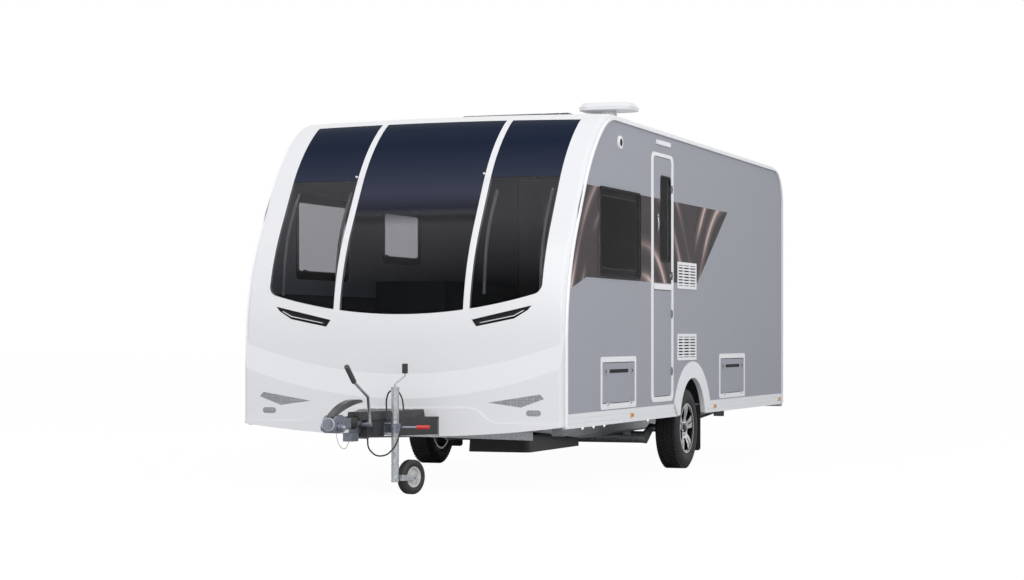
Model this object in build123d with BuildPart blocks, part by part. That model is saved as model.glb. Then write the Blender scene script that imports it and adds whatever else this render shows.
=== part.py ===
"""Single-axle touring caravan, nose to -Y, +Z up, millimetres, built piece by piece."""
from build123d import *
from math import cos, hypot, pi, radians, sin, sqrt, tan
import os

os.makedirs("parts", exist_ok=True)

# Body shell
body_length = 5795.0
body_width = 2260.0
nose_reach = 1143.0
wall = 28.0
skirt_top = 505.0
skirt_bottom = 410.0
skirt_gauge = 22.0
floor_top = 530.0
floor_thickness = 45.0
hoop_base = 330.0
edge_depth = 35.0
edge_radius = 34.0
bow = 15.0
rail_proud = 14.0
rail_width = 16.0
slip = 0.3
play = 5.0

# Side outline: distance behind the front edge, height, corner radius
front_knee = (0.0, 1364.0, 1410.0)
front_brow = (503.0, 2223.0, 1280.0)
roof_front = (857.0, 2480.0, 480.0)
roof_rear = (body_length, 2446.0, 300.0)
panel_seam = 1360.0
roof_seam_front = 990.0
roof_seam_rear = 420.0

# Front glazing
pillar = 44.0
centre_glass_half = 439.0
side_glass_edge = 969.0
glass_low = 1148.0
glass_sweep = 3400.0
glass_corner = 70.0
glass_top = 780.0
glass_split = (325.0, 2055.0)
glass_lean = 59.6
glass = 6.0
glass_gap = 0.6

# Front bumper and its creases
bumper_out = 30.0
bumper_top = 1010.0
crease_high = 758.0
crease_low = 598.0
crease_radius = 5500.0
bumper_foot = 352.0
foot_radius = 8900.0
step_out = 8.0
lamp_depth = 18.0
rear_bumper_out = 22.0
rear_bumper_top = 700.0

# Wheels and arches
axle_station = 2930.0
tyre_radius = 305.0
tyre_width = 185.0
wheel_face = 1100.0
bead_radius = 182.0
rim_lip = 190.0
arch_half = 345.0
arch_peak = 690.0
trim_half = 487.0
trim_peak = 814.0
trim_proud = 8.0
trim_lip = 10.0
box_radius = 420.0
box_wall = 4.0
box_inner = 880.0

# Door, lockers and their hinges
door_front = 1925.0
door_rear = 2363.0
door_low = 572.0
door_high = 2300.0
door_split = 1340.0
door_border = 62.0
face_proud = 2.0
pin_out = 7.0
knuckle = 5.0
pin_radius = 2.5
locker_border = 42.0
locker_low = 512.0
locker_high = 866.0

# Chassis
rail_x = 650.0
rail_depth = 200.0
rail_end_depth = 110.0
rail_flange = 40.0
rail_gauge = 4.0
frame_tip = -620.0
frame_tip_x = 23.0
frame_slope = 0.4545
frame_half = 20.0
hitch_z = 468.0
ball_radius = 25.2
axle_tube = 45.0
arm_reach = 140.0

# Jockey wheel
jockey_x = 170.0
jockey_station = -515.0
jockey_radius = 110.0
jockey_width = 60.0
jockey_trail = 152.0
jockey_turn = 18.5
jockey_tube = 24.0
jockey_inner = 20.0
sleeve_low = 92.0
sleeve_top = 200.0
tube_top = 676.0
notch_top = 485.0

half_width = body_width / 2
front_y = nose_reach - (nose_reach + body_length + edge_depth + bow + rear_bumper_out) / 2
inner_x = half_width - wall
floor_bottom = floor_top - floor_thickness
side_glass_start = centre_glass_half + pillar
far = 4000.0


def at(station):
    """Y of a point given as its distance behind the body's front edge."""
    return front_y + station


def drawbar_edge(station):
    """Half the width across the outer faces of the drawbar rails at a station."""
    return frame_tip_x + frame_half * sqrt(1 + frame_slope ** 2) + (station - frame_tip) * frame_slope


def save(piece, name):
    """Labels a piece and writes its STEP file."""
    piece.label = name
    export_step(piece, f"parts/{name}.step")


def front_plane(y):
    """Sketch plane seen from the front: across is +X, up is +Z, extrusions run to -Y."""
    return Plane(origin=(0, y, 0), x_dir=(1, 0, 0), z_dir=(0, -1, 0))


def side_plane(x):
    """Sketch plane seen along X: across is +Y, up is +Z, extrusions run to +X."""
    return Plane.YZ.offset(x)


def outline(base, close=False):
    """The side outline from a base height, up the nose, along the roof and down the tail."""
    knees = (front_knee, front_brow, roof_front, roof_rear)
    points = [(at(0), base)] + [(at(s), z) for s, z, r in knees] + [(at(body_length), base)]
    radii = [r for s, z, r in knees]
    if close:
        radii = [0] + radii + [0]
    FilletPolyline(*points, radius=radii, close=close)


def edge_section(thickness, out=0.0):
    """Section of the moulded edge: a shallow bow with a rounded return at each side."""
    hw = half_width
    outer = -edge_depth - out
    back = outer + edge_radius
    cx = hw - edge_radius
    r_in = edge_radius - thickness
    q = sqrt(0.5)
    Line((hw, 0), (hw, back))
    ThreePointArc((hw, back), (cx + edge_radius * q, back - edge_radius * q), (cx, outer))
    ThreePointArc((cx, outer), (0, outer - bow), (-cx, outer))
    ThreePointArc((-cx, outer), (-cx - edge_radius * q, back - edge_radius * q), (-hw, back))
    Polyline((-hw, back), (-hw, 0), (-hw + thickness, 0), (-hw + thickness, back))
    ThreePointArc((-hw + thickness, back), (-cx - r_in * q, back - r_in * q), (-cx, outer + thickness))
    ThreePointArc((-cx, outer + thickness), (0, outer + thickness - bow), (cx, outer + thickness))
    ThreePointArc((cx, outer + thickness), (cx + r_in * q, back - r_in * q), (hw - thickness, back))
    Polyline((hw - thickness, back), (hw - thickness, 0), (hw, 0))


def hoop(thickness):
    """The moulded skin that runs up the front, over the roof and down the rear."""
    with BuildPart() as ring:
        with BuildLine(Plane.YZ) as path:
            outline(hoop_base)
        with BuildSketch(Plane((0, at(0), hoop_base))):
            with BuildLine():
                edge_section(thickness)
            make_face()
        sweep(path=path.wire())
    return ring.part


def slab(x0, x1, y0, y1, z0, z1, mode=Mode.ADD):
    """Box between two corners."""
    with Locations(((x0 + x1) / 2, (y0 + y1) / 2, (z0 + z1) / 2)):
        Box(abs(x1 - x0), abs(y1 - y0), abs(z1 - z0), mode=mode)


def rod(start, end, radius, mode=Mode.ADD):
    """Round bar between two points."""
    run = Vector(*end) - Vector(*start)
    with Locations(Plane(origin=start, z_dir=run).location):
        Cylinder(radius, run.length, align=(Align.CENTER, Align.CENTER, Align.MIN), mode=mode)


def mirrored(piece):
    """The piece with its mirror image on the other side, as separate solids."""
    with BuildPart() as pair:
        add(piece)
        add(piece.mirror(Plane.YZ))
    return pair.part


def sag(x, low, radius):
    """Height at x of an arc that is lowest on the centre line."""
    return low + radius - sqrt(radius ** 2 - x ** 2)


def bay(x0, x1, gap, round_out=False):
    """Prism of one bay of the front glazing, open upwards, its foot on the sagging line."""
    a = x0 + gap
    b = x1 - gap
    low = glass_low + gap
    middle = (a + b) / 2
    with BuildPart() as prism:
        with BuildSketch(front_plane(at(glass_top) - gap)):
            with BuildLine():
                ThreePointArc((a, sag(a, low, glass_sweep)), (middle, sag(middle, low, glass_sweep)),
                              (b, sag(b, low, glass_sweep)))
                Polyline((b, sag(b, low, glass_sweep)), (b, 2700), (a, 2700), (a, sag(a, low, glass_sweep)))
            make_face()
            if round_out:
                corner = vertices().sort_by_distance((b, sag(b, low, glass_sweep)))[0]
                fillet(corner, glass_corner - gap)
        extrude(amount=glass_top + 200)
    return prism.part


def pane(x0, x1, plane=None, keep=Keep.BOTH, round_out=False):
    """A moulded pane in its bay, flush with the outer skin."""
    with BuildPart() as sheet:
        add(glass_skin)
        add(bay(x0, x1, glass_gap, round_out), mode=Mode.INTERSECT)
        if plane is not None:
            split(bisect_by=plane, keep=keep)
    return sheet.part


def bumper_shell(thickness, out, z0, z1, tail=False):
    """Upright shell that follows the bow of the nose, or of the tail, at a given offset."""
    origin = Plane((0, at(body_length), z0), x_dir=(-1, 0, 0)) if tail else Plane((0, at(0), z0))
    with BuildPart() as shell:
        with BuildSketch(origin):
            with BuildLine():
                edge_section(thickness, out)
            make_face()
        extrude(amount=z1 - z0)
    return shell.part


def nose_prism(points, shrink=0.0):
    """Prism through the nose, its outline given as seen from the front."""
    with BuildPart() as prism:
        with BuildSketch(front_plane(at(100))):
            with BuildLine():
                Polyline(*points, close=True)
            make_face()
            if shrink:
                offset(amount=-shrink, kind=Kind.INTERSECTION)
        extrude(amount=400)
    return prism.part


skin = hoop(wall)
glass_skin = hoop(glass)


# Outlines on the nose for the side with +X, as (across, up)
step_line = [(0, 300), (0, 536), (490, 542), (549, 529), (625, 466), (690, 444), (1300, 439), (1300, 300)]
lamp_outline = [(628, 578), (851, 548), (1007, 604), (980, 633)]
fog_centre = (936, 512)
fog_size = (100, 38)
grip_outline = [(500, 1112), (531, 1067), (792, 1118), (881, 1172), (908, 1203)]
grip_bar = [(545, 1096), (551, 1084), (790, 1133), (868, 1174), (846, 1174), (784, 1143)]
grip_height = 1137.0
grip_lean = 5.0
grip_depth = 14.0
grip_plane = Plane(origin=(0, at(9) - edge_depth - bow * 0.7, grip_height),
                   x_dir=(1, 0, 0), z_dir=(0, -cos(radians(grip_lean)), sin(radians(grip_lean))))

with BuildPart() as grip_pocket:
    with BuildSketch(grip_plane.offset(-grip_depth)):
        with BuildLine():
            Polyline(*[(x, z - grip_height) for x, z in grip_outline], close=True)
        make_face()
    extrude(amount=60)

with BuildPart() as grip_rail:
    with BuildSketch(grip_plane.offset(-grip_depth + slip)):
        with BuildLine():
            Polyline(*[(x, z - grip_height) for x, z in grip_bar], close=True)
        make_face()
    extrude(amount=grip_depth - 2)

with BuildPart() as smile_cut:
    rise = crease_high - crease_low
    with BuildSketch(front_plane(at(0) - edge_depth - bow + bumper_out)):
        with BuildLine():
            reach = half_width + 40
            top = crease_high + rise
            end = sag(reach, top, crease_radius)
            ThreePointArc((-reach, end), (0, top), (reach, end))
            Polyline((reach, end), (reach, end + 900), (-reach, end + 900), (-reach, end))
        make_face()
    extrude(amount=hypot(bumper_out, rise) * 3.4, dir=(0, -bumper_out, -rise))

with BuildPart() as bumper_front:
    add(bumper_shell(bumper_out + 2, bumper_out, hoop_base, bumper_top))
    add(smile_cut.part, mode=Mode.SUBTRACT)

with BuildPart() as lower_lip:
    add(bumper_shell(step_out + 3, bumper_out + step_out, hoop_base, 560))
    add(nose_prism(step_line), mode=Mode.INTERSECT)

with BuildPart() as foot_cut:
    with BuildSketch(front_plane(at(300))):
        with BuildLine():
            reach = half_width + 40
            end = sag(reach, bumper_foot, foot_radius)
            ThreePointArc((-reach, end), (0, bumper_foot), (reach, end))
            Polyline((reach, end), (reach, 0), (-reach, 0), (-reach, end))
        make_face()
    extrude(amount=900)


def lamp_solids(shrink, depth, inset):
    """Lamp bodies let into the bumper: the long corner unit and the round-ended one below it."""
    with BuildPart() as lamps:
        add(nose_prism(lamp_outline, shrink))
        with BuildSketch(front_plane(at(100))):
            with Locations(fog_centre):
                SlotOverall(fog_size[0] - 2 * shrink, fog_size[1] - 2 * shrink)
        extrude(amount=400)
        add(bumper_shell(depth, bumper_out - inset, hoop_base, bumper_top), mode=Mode.INTERSECT)
    return mirrored(lamps.part)


with BuildPart() as front_lower:
    add(skin)
    slab(-far, far, at(-300), at(600), 0, panel_seam, mode=Mode.INTERSECT)
    add(bumper_front.part)
    add(mirrored(lower_lip.part))
    add(foot_cut.part, mode=Mode.SUBTRACT)
    with BuildSketch(Plane.XY.offset(0)):
        with BuildLine():
            run = [(drawbar_edge(s) + play, at(s)) for s in (-300, 100)]
            Polyline(*run, *[(-x, y) for x, y in reversed(run)], close=True)
        make_face()
    extrude(amount=notch_top, mode=Mode.SUBTRACT)
    add(lamp_solids(0, lamp_depth, 0), mode=Mode.SUBTRACT)
    add(mirrored(grip_pocket.part), mode=Mode.SUBTRACT)
    add(bay(-centre_glass_half, centre_glass_half, 0), mode=Mode.SUBTRACT)
    add(mirrored(bay(side_glass_start, side_glass_edge, 0, True)), mode=Mode.SUBTRACT)
save(front_lower.part, "front_lower")

save(lamp_solids(slip, lamp_depth - slip, 0), "front_lamps")
save(mirrored(grip_rail.part), "front_grips")

with BuildPart() as front_upper:
    add(skin)
    slab(-far, far, at(-300), at(roof_seam_front), panel_seam, far, mode=Mode.INTERSECT)
    add(bay(-centre_glass_half, centre_glass_half, 0), mode=Mode.SUBTRACT)
    add(mirrored(bay(side_glass_start, side_glass_edge, 0, True)), mode=Mode.SUBTRACT)
save(front_upper.part, "front_upper")

lean = radians(glass_lean)
split_plane = Plane(origin=(0, at(glass_split[0]), glass_split[1]), z_dir=(0, cos(lean), sin(lean)))
lower_pane = pane(side_glass_start, side_glass_edge, split_plane.offset(-slip), Keep.BOTTOM, True)
upper_pane = pane(side_glass_start, side_glass_edge, split_plane.offset(slip), Keep.TOP, True)
with BuildPart() as windows_front:
    add(pane(-centre_glass_half, centre_glass_half))
    add(mirrored(lower_pane))
    add(mirrored(upper_pane))
save(windows_front.part, "windows_front")

# Roof and its lights: centre across, station, width across, length
roof_lights = {"rooflight_main": (-60.0, 3100.0, 700.0, 500.0),
               "rooflight_rear": (250.0, 4950.0, 400.0, 400.0)}
roof_z = 2466.0 + edge_depth
kerb = 45.0
kerb_wall = 16.0
lid_gap = 6.0
lid_height = 34.0

with BuildPart() as roof_panel:
    add(skin)
    slab(-far, far, at(roof_seam_front), at(body_length - roof_seam_rear), 1500, far, mode=Mode.INTERSECT)
    for x, s, w, l in roof_lights.values():
        slab(x - w / 2, x + w / 2, at(s - l / 2), at(s + l / 2), 2000, 3000, mode=Mode.SUBTRACT)
save(roof_panel.part, "roof_panel")


tail_lamp = [(720, 560), (1040, 590), (1040, 668), (760, 668)]


def tail_lamp_solids(shrink, depth):
    with BuildPart() as lamps:
        with BuildSketch(front_plane(at(body_length + 200))):
            with BuildLine():
                Polyline(*tail_lamp, close=True)
            make_face()
            if shrink:
                offset(amount=-shrink, kind=Kind.INTERSECTION)
        extrude(amount=400)
        add(bumper_shell(depth, rear_bumper_out, hoop_base, rear_bumper_top, tail=True), mode=Mode.INTERSECT)
    return mirrored(lamps.part)


with BuildPart() as rear_panel:
    add(skin)
    slab(-far, far, at(body_length - roof_seam_rear), far, skirt_bottom - 20, far, mode=Mode.INTERSECT)
    add(bumper_shell(rear_bumper_out + 2, rear_bumper_out, skirt_bottom - 20, rear_bumper_top, tail=True))
    add(tail_lamp_solids(0, lamp_depth), mode=Mode.SUBTRACT)
save(rear_panel.part, "rear_panel")
save(tail_lamp_solids(slip, lamp_depth - slip), "tail_lamps")

# Side walls. Windows: start, end, low, high, corner
windows_left = [(680, 1592, 1405, 2007, 40)]
windows_right = [(680, 1592, 1405, 2007, 40), (2180, 2960, 1560, 2007, 40), (4560, 5160, 1560, 2007, 40)]
# Lockers: start, end
lockers_left = [(708, 1502), (3710, 4513)]
lockers_right = [(708, 1502), (4300, 5000)]
# Vents: start, end, low, high
vents = [(2528, 3034, 1360, 1559), (2528, 3034, 825, 1023)]
vent_rim = 22.0
vent_proud = 6.0


def box_2d(start, end, low, high, corner=0.0, grow=0.0, mode=Mode.ADD):
    """Rounded rectangle on a side plane."""
    with Locations((at((start + end) / 2), (low + high) / 2)):
        width = end - start + 2 * grow
        height = high - low + 2 * grow
        if corner + grow > 0:
            RectangleRounded(width, height, corner + grow, mode=mode)
        else:
            Rectangle(width, height, mode=mode)


def arch_2d(half, peak, base, mode=Mode.ADD):
    """Arc over the wheel, closed by a level line at its base."""
    with BuildLine() as arch:
        ThreePointArc((at(axle_station - half), base), (at(axle_station), peak),
                      (at(axle_station + half), base))
        Line((at(axle_station + half), base), (at(axle_station - half), base))
    make_face(arch.edges(), mode=mode)


def side_wall(x, left):
    with BuildPart() as panel:
        with BuildSketch(side_plane(x)):
            with BuildLine():
                outline(skirt_top, close=True)
            make_face()
            for start, end, low, high, corner in windows_left if left else windows_right:
                box_2d(start, end, low, high, corner, mode=Mode.SUBTRACT)
            for start, end in lockers_left if left else lockers_right:
                box_2d(start, end, locker_low, locker_high, 20, mode=Mode.SUBTRACT)
            if left:
                door_head = door_high + door_border / 2
                box_2d(door_front - door_border, door_rear + door_border, floor_top, door_head, 60,
                       mode=Mode.SUBTRACT)
                for start, end, low, high in vents:
                    box_2d(start, end, low, high, 0, 3 - vent_rim, mode=Mode.SUBTRACT)
            clear = trim_lip + slip
            arch_2d(arch_half + clear, arch_peak + clear, skirt_top - 85, mode=Mode.SUBTRACT)
        extrude(amount=wall)
    return panel.part


save(side_wall(inner_x, True), "side_wall_left")
save(side_wall(-half_width, False), "side_wall_right")


def side_glazing(frames, face, sign):
    with BuildPart() as panes:
        with BuildSketch(side_plane(sign * (half_width - 10))):
            for start, end, low, high, corner in frames:
                box_2d(start, end, low, high, corner, -glass_gap)
        extrude(amount=sign * (10 + face))
    return panes.part


with BuildPart() as windows_side:
    add(side_glazing(windows_left, 8.0, 1))
    add(side_glazing(windows_right, 8.0, -1))
save(windows_side.part, "windows_side")

# Skirts and trims on both sides
with BuildPart() as skirt:
    for start, end in ((4, axle_station - arch_half - trim_lip - 2),
                       (axle_station + arch_half + trim_lip + 2, body_length - 4)):
        groove = 4.0
        levels = [skirt_bottom, 436, 442, 468, 474, skirt_top]
        with BuildSketch(front_plane(at(start))):
            with BuildLine():
                outer = half_width - 2
                run = [(outer - skirt_gauge, skirt_bottom), (outer, levels[0]), (outer, levels[1]),
                       (outer - groove, levels[1]), (outer - groove, levels[2]), (outer, levels[2]),
                       (outer, levels[3]), (outer - groove, levels[3]), (outer - groove, levels[4]),
                       (outer, levels[4]), (outer, levels[5]), (outer - skirt_gauge, levels[5])]
                Polyline(*run, close=True)
            make_face()
        extrude(amount=-(end - start))
save(mirrored(skirt.part), "skirts")

with BuildPart() as arch_trim:
    with BuildSketch(side_plane(half_width)):
        arch_2d(trim_half, trim_peak, skirt_top)
    extrude(amount=trim_proud)
    with BuildSketch(side_plane(half_width)):
        with BuildLine():
            flare = arch_half + 60
            Polyline((at(axle_station - trim_half), skirt_top + 1),
                     (at(axle_station + trim_half), skirt_top + 1),
                     (at(axle_station + flare), skirt_bottom + 6),
                     (at(axle_station - flare), skirt_bottom + 6), close=True)
        make_face()
    extrude(amount=trim_proud)
    with BuildSketch(side_plane(inner_x)):
        arch_2d(arch_half + trim_lip, arch_peak + trim_lip, skirt_bottom + 10)
    extrude(amount=wall + trim_proud)
    with BuildSketch(side_plane(inner_x - 1)):
        arch_2d(arch_half, arch_peak, skirt_bottom - 20)
    extrude(amount=wall + trim_proud + 2, mode=Mode.SUBTRACT)
save(mirrored(arch_trim.part), "arch_trims")

with BuildPart() as edge_rail:
    with BuildLine(Plane.YZ.offset(half_width)) as edge_path:
        outline(skirt_bottom + 10)
    with BuildSketch(Plane((half_width, at(0), skirt_bottom + 10))):
        with Locations((rail_proud / 2, 0)):
            Rectangle(rail_proud, rail_width)
    sweep(path=edge_path.wire())
save(mirrored(edge_rail.part), "edge_rails")

# Door
door_left = half_width - wall + 2
pin_x = half_width + face_proud + pin_out

with BuildPart() as door_frame:
    with BuildSketch(side_plane(inner_x)):
        box_2d(door_front - door_border, door_rear + door_border, floor_top, door_high + door_border / 2, 60)
        box_2d(door_front - play, door_rear + play, door_low - play, door_high + play, 40, mode=Mode.SUBTRACT)
    extrude(amount=wall + face_proud)

door_pin_y = at(door_rear) + play + 1
hinge_span = 56.0


# Hinges of the door: straps on the outer face and knuckles round a pin, the leaf's one in the middle
strap_gauge = 3.0
strap_reach = 34.0
leaf_knuckle = 12.0
frame_knuckle = 8.0
knuckle_gap = 1.0
pin_play = 0.05
face_x = half_width + face_proud


def hinge_leaf(z, y_out):
    """Strap and knuckle on the outer face, the knuckle on the pin line."""
    y0, y1 = sorted((door_pin_y, y_out))
    low = z - leaf_knuckle
    high = z + leaf_knuckle
    slab(face_x, face_x + strap_gauge, y0, y1, low, high)
    rod((pin_x, door_pin_y, low), (pin_x, door_pin_y, high), knuckle)
    slab(face_x, pin_x, door_pin_y - knuckle, door_pin_y, low, high)


def door_leaf(low, high, hinge_levels, window=None):
    """One leaf of the door between two heights, with a hole for its window."""
    with BuildPart() as leaf:
        with BuildSketch(side_plane(door_left)):
            box_2d(door_front, door_rear, door_low, door_high, 36)
            with Locations((at(0), (low + high) / 2)):
                Rectangle(2 * far, high - low, mode=Mode.INTERSECT)
            if window:
                box_2d(*window, mode=Mode.SUBTRACT)
        extrude(amount=face_x - door_left)
        for z in hinge_levels:
            hinge_leaf(z, at(door_rear - strap_reach))
            low_end = (pin_x, door_pin_y, z - leaf_knuckle - knuckle_gap)
            high_end = (pin_x, door_pin_y, z + leaf_knuckle + knuckle_gap)
            rod(low_end, high_end, pin_radius + pin_play, mode=Mode.SUBTRACT)
    return leaf.part


door_window = (2088, 2343, 1547, 2169, 30)
door_hinges_low = [748.0, 1169.0]
door_hinges_high = [1450.0, 2084.0]
save(door_leaf(door_low, door_split - play / 2, door_hinges_low), "door_lower")
save(door_leaf(door_split + play / 2, door_high, door_hinges_high, door_window), "door_upper")

with BuildPart() as door_glass:
    with BuildSketch(side_plane(half_width - 8)):
        box_2d(*door_window, grow=-glass_gap)
    extrude(amount=8 + face_proud)
save(door_glass.part, "door_window")

with BuildPart() as door_surround:
    add(door_frame.part)
    for z in door_hinges_low + door_hinges_high:
        for side in (-1, 1):
            mid = z + side * (leaf_knuckle + knuckle_gap + frame_knuckle)
            low = mid - frame_knuckle
            high = mid + frame_knuckle
            slab(face_x, face_x + strap_gauge, door_pin_y - 1, door_pin_y + strap_reach, low, high)
            rod((pin_x, door_pin_y, low), (pin_x, door_pin_y, high), knuckle)
            slab(face_x, pin_x, door_pin_y - 1, door_pin_y + 2.5, low, high)
        rod((pin_x, door_pin_y, z - 24), (pin_x, door_pin_y, z + 24), pin_radius)
save(door_surround.part, "door_frame")

# Lockers: doors hinged along their lower edge
def locker_frames(spans, sign):
    """Frames of one side's lockers with the outer knuckles and pins of their hinges."""
    with BuildPart() as frames:
        with BuildSketch(side_plane(sign * inner_x)):
            for start, end in spans:
                box_2d(start, end, locker_low, locker_high, 20)
                rim = locker_border - play
                box_2d(start + rim, end - rim, locker_low + rim, locker_high - rim, 12, mode=Mode.SUBTRACT)
        extrude(amount=sign * (wall + face_proud))
        for start, end in spans:
            for s in (start + 140, end - 140):
                for side in (-1, 1):
                    y = at(s) + side * 24
                    z = locker_low + locker_border - play - 1
                    x0, x1 = sorted((sign * (half_width + face_proud), sign * (half_width + face_proud + 3)))
                    slab(x0, x1, y - 11, y + 11, z - 22, z + 1)
                    slab(x0, sign * pin_x, y - 11, y + 11, z - 1, z + 1)
                    rod((sign * pin_x, y - 11, z), (sign * pin_x, y + 11, z), knuckle)
                rod((sign * pin_x, at(s) - 26, z), (sign * pin_x, at(s) + 26, z), pin_radius)
    return frames.part


def locker_door(start, end, sign):
    """Lid of a locker with the middle knuckles of its hinges."""
    low = locker_low + locker_border
    high = locker_high - locker_border
    with BuildPart() as door:
        with BuildSketch(side_plane(sign * door_left)):
            box_2d(start + locker_border, end - locker_border, low, high, 10)
        extrude(amount=sign * (half_width + face_proud - door_left))
        for s in (start + 140, end - 140):
            z = low - play - 1
            x0, x1 = sorted((sign * (half_width + face_proud), sign * (half_width + face_proud + 3)))
            slab(x0, x1, at(s) - 12, at(s) + 12, z, low + 22)
            rod((sign * pin_x, at(s) - 12, z), (sign * pin_x, at(s) + 12, z), knuckle)
            rod((sign * pin_x, at(s) - 13, z), (sign * pin_x, at(s) + 13, z), pin_radius + 0.05,
                mode=Mode.SUBTRACT)
        for s in (start + locker_border + 60, end - locker_border - 60):
            slab(sign * (half_width + face_proud), sign * (half_width + face_proud + 5), at(s) - 18, at(s) + 18,
                 high - 78, high - 34)
    return door.part


with BuildPart() as locker_surrounds:
    add(locker_frames(lockers_left, 1))
    add(locker_frames(lockers_right, -1))
save(locker_surrounds.part, "locker_frames")
for side, sign, spans in (("left", 1, lockers_left), ("right", -1, lockers_right)):
    for place, (start, end) in zip(("front", "rear"), spans):
        save(locker_door(start, end, sign), f"locker_{place}_{side}")

# Vent grilles with louvres
louvres = 7
with BuildPart() as vent_grilles:
    with BuildSketch(side_plane(half_width)):
        for span in vents:
            box_2d(*span, 8)
            box_2d(*span, 4, -vent_rim, mode=Mode.SUBTRACT)
    extrude(amount=vent_proud)
    for start, end, low, high in vents:
        pitch = (high - low - 2 * vent_rim) / louvres
        for row in range(louvres):
            z = low + vent_rim + (row + 0.5) * pitch
            slab(half_width - 8, half_width + vent_proud - 2, at(start + vent_rim - 2), at(end - vent_rim + 2),
                 z - pitch * 0.28, z + pitch * 0.28)
        for s in (start + (end - start) / 3, start + 2 * (end - start) / 3):
            slab(half_width - 8, half_width + vent_proud - 1, at(s - 6), at(s + 6), low + vent_rim - 2,
                 high - vent_rim + 2)
    with BuildSketch(side_plane(half_width)):
        with Locations((at(1124), 2330)):
            Circle(48)
    extrude(amount=12, taper=20)
save(vent_grilles.part, "wall_vents")

# Small fittings on the side walls
marker_stations = (1404.0, 3582.0, 5706.0)
with BuildPart() as side_markers:
    for s in marker_stations:
        with Locations((half_width - 2 + 4, at(s), 457)):
            Box(8, 66, 24)
save(mirrored(side_markers.part), "side_markers")

with BuildPart() as awning_light:
    with BuildSketch(side_plane(half_width)):
        box_2d(1983, 2322, 2388, 2424, 12)
    extrude(amount=12, taper=12)
save(awning_light.part, "awning_light")

# Rooflights: kerb on the roof, lid hinged along its front edge
def roof_frame(x, s, w, l):
    with BuildPart() as frame:
        slab(x - w / 2, x + w / 2, at(s - l / 2), at(s + l / 2), roof_z - 60, roof_z + kerb)
        slab(x - w / 2 + kerb_wall, x + w / 2 - kerb_wall, at(s - l / 2) + kerb_wall,
             at(s + l / 2) - kerb_wall, roof_z - 60, roof_z + kerb, mode=Mode.SUBTRACT)
    return frame.part


with BuildPart() as rooflight_kerbs:
    for x, s, w, l in roof_lights.values():
        add(roof_frame(x, s, w - 2 * slip, l - 2 * slip))
        for side in (-1, 1):
            px = x + side * (w / 2 - 60)
            y = at(s - l / 2) - 14
            slab(px - 30, px - 14, y - 6, at(s - l / 2) + slip, roof_z + kerb - 16, roof_z + kerb + 6)
            slab(px + 14, px + 30, y - 6, at(s - l / 2) + slip, roof_z + kerb - 16, roof_z + kerb + 6)
            rod((px - 30, y, roof_z + kerb), (px + 30, y, roof_z + kerb), 3)
save(rooflight_kerbs.part, "rooflight_kerbs")

for name, (x, s, w, l) in roof_lights.items():
    with BuildPart() as lid:
        base = roof_z + kerb + lid_gap
        with BuildSketch(Plane.XY.offset(base)):
            with Locations((x, at(s))):
                RectangleRounded(w + 24, l + 10, 40)
        extrude(amount=lid_height, taper=20)
        with BuildSketch(Plane.XY.offset(base)):
            with Locations((x, at(s))):
                RectangleRounded(w + 24 - 12, l + 10 - 12, 34)
        extrude(amount=lid_height - 6, taper=20, mode=Mode.SUBTRACT)
        for side in (-1, 1):
            px = x + side * (w / 2 - 60)
            y = at(s - l / 2) - 14
            slab(px - 11, px + 11, y, at(s - l / 2) + 6, base - lid_gap + 4, base + 6)
            rod((px - 11, y, roof_z + kerb), (px + 11, y, roof_z + kerb), 6.5)
            rod((px - 12, y, roof_z + kerb), (px + 12, y, roof_z + kerb), 3.05, mode=Mode.SUBTRACT)
    save(lid.part, name)

# Aerial and solar panel
aerial_x = 900.0
aerial_station = 1600.0
with BuildPart() as roof_aerial:
    with BuildSketch(Plane.XY.offset(2500)):
        with Locations((aerial_x, at(aerial_station))):
            Circle(60)
    extrude(amount=110, taper=4)
    with BuildSketch(Plane.XY.offset(2596)):
        with Locations((aerial_x, at(aerial_station))):
            RectangleRounded(390, 300, 90)
    extrude(amount=22, taper=-8)
    with BuildSketch(Plane.XY.offset(2618)):
        with Locations((aerial_x, at(aerial_station))):
            RectangleRounded(396, 306, 92)
    extrude(amount=30, taper=40)
    add(skin, mode=Mode.SUBTRACT)
save(roof_aerial.part, "roof_aerial")

# Solar panel: centre across, station, width across, length
solar = (290.0, 1900.0, 780.0, 1150.0)
solar_low = 2538.0
with BuildPart() as solar_panel:
    x, s, w, l = solar
    slab(x - w / 2, x + w / 2, at(s - l / 2), at(s + l / 2), solar_low, solar_low + 30)
    for i in (-1, 1):
        for j in (-1, 1):
            foot_x = x + i * (w / 2 - 60)
            foot_y = at(s) + j * (l / 2 - 40)
            slab(foot_x - 40, foot_x + 40, foot_y - 40, foot_y + 40, 2480, solar_low)
    add(skin, mode=Mode.SUBTRACT)
    slab(-far, far, -far, far, 0, 2500, mode=Mode.SUBTRACT)
save(solar_panel.part, "solar_panel")

# Floor with the wheel housings
with BuildPart() as floor:
    slab(-inner_x, inner_x, at(0), at(body_length), floor_bottom, floor_top)
    for sign in (-1, 1):
        rod((sign * (box_inner - slip), at(axle_station), tyre_radius), (sign * inner_x, at(axle_station),
            tyre_radius), box_radius + slip, mode=Mode.SUBTRACT)
save(floor.part, "floor")

with BuildPart() as wheel_box:
    rod((box_inner, at(axle_station), tyre_radius), (inner_x, at(axle_station), tyre_radius), box_radius)
    rod((box_inner + box_wall, at(axle_station), tyre_radius), (inner_x, at(axle_station), tyre_radius),
        box_radius - box_wall, mode=Mode.SUBTRACT)
    slab(-far, far, -far, far, -far, floor_bottom, mode=Mode.SUBTRACT)
save(mirrored(wheel_box.part), "wheel_boxes")

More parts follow.
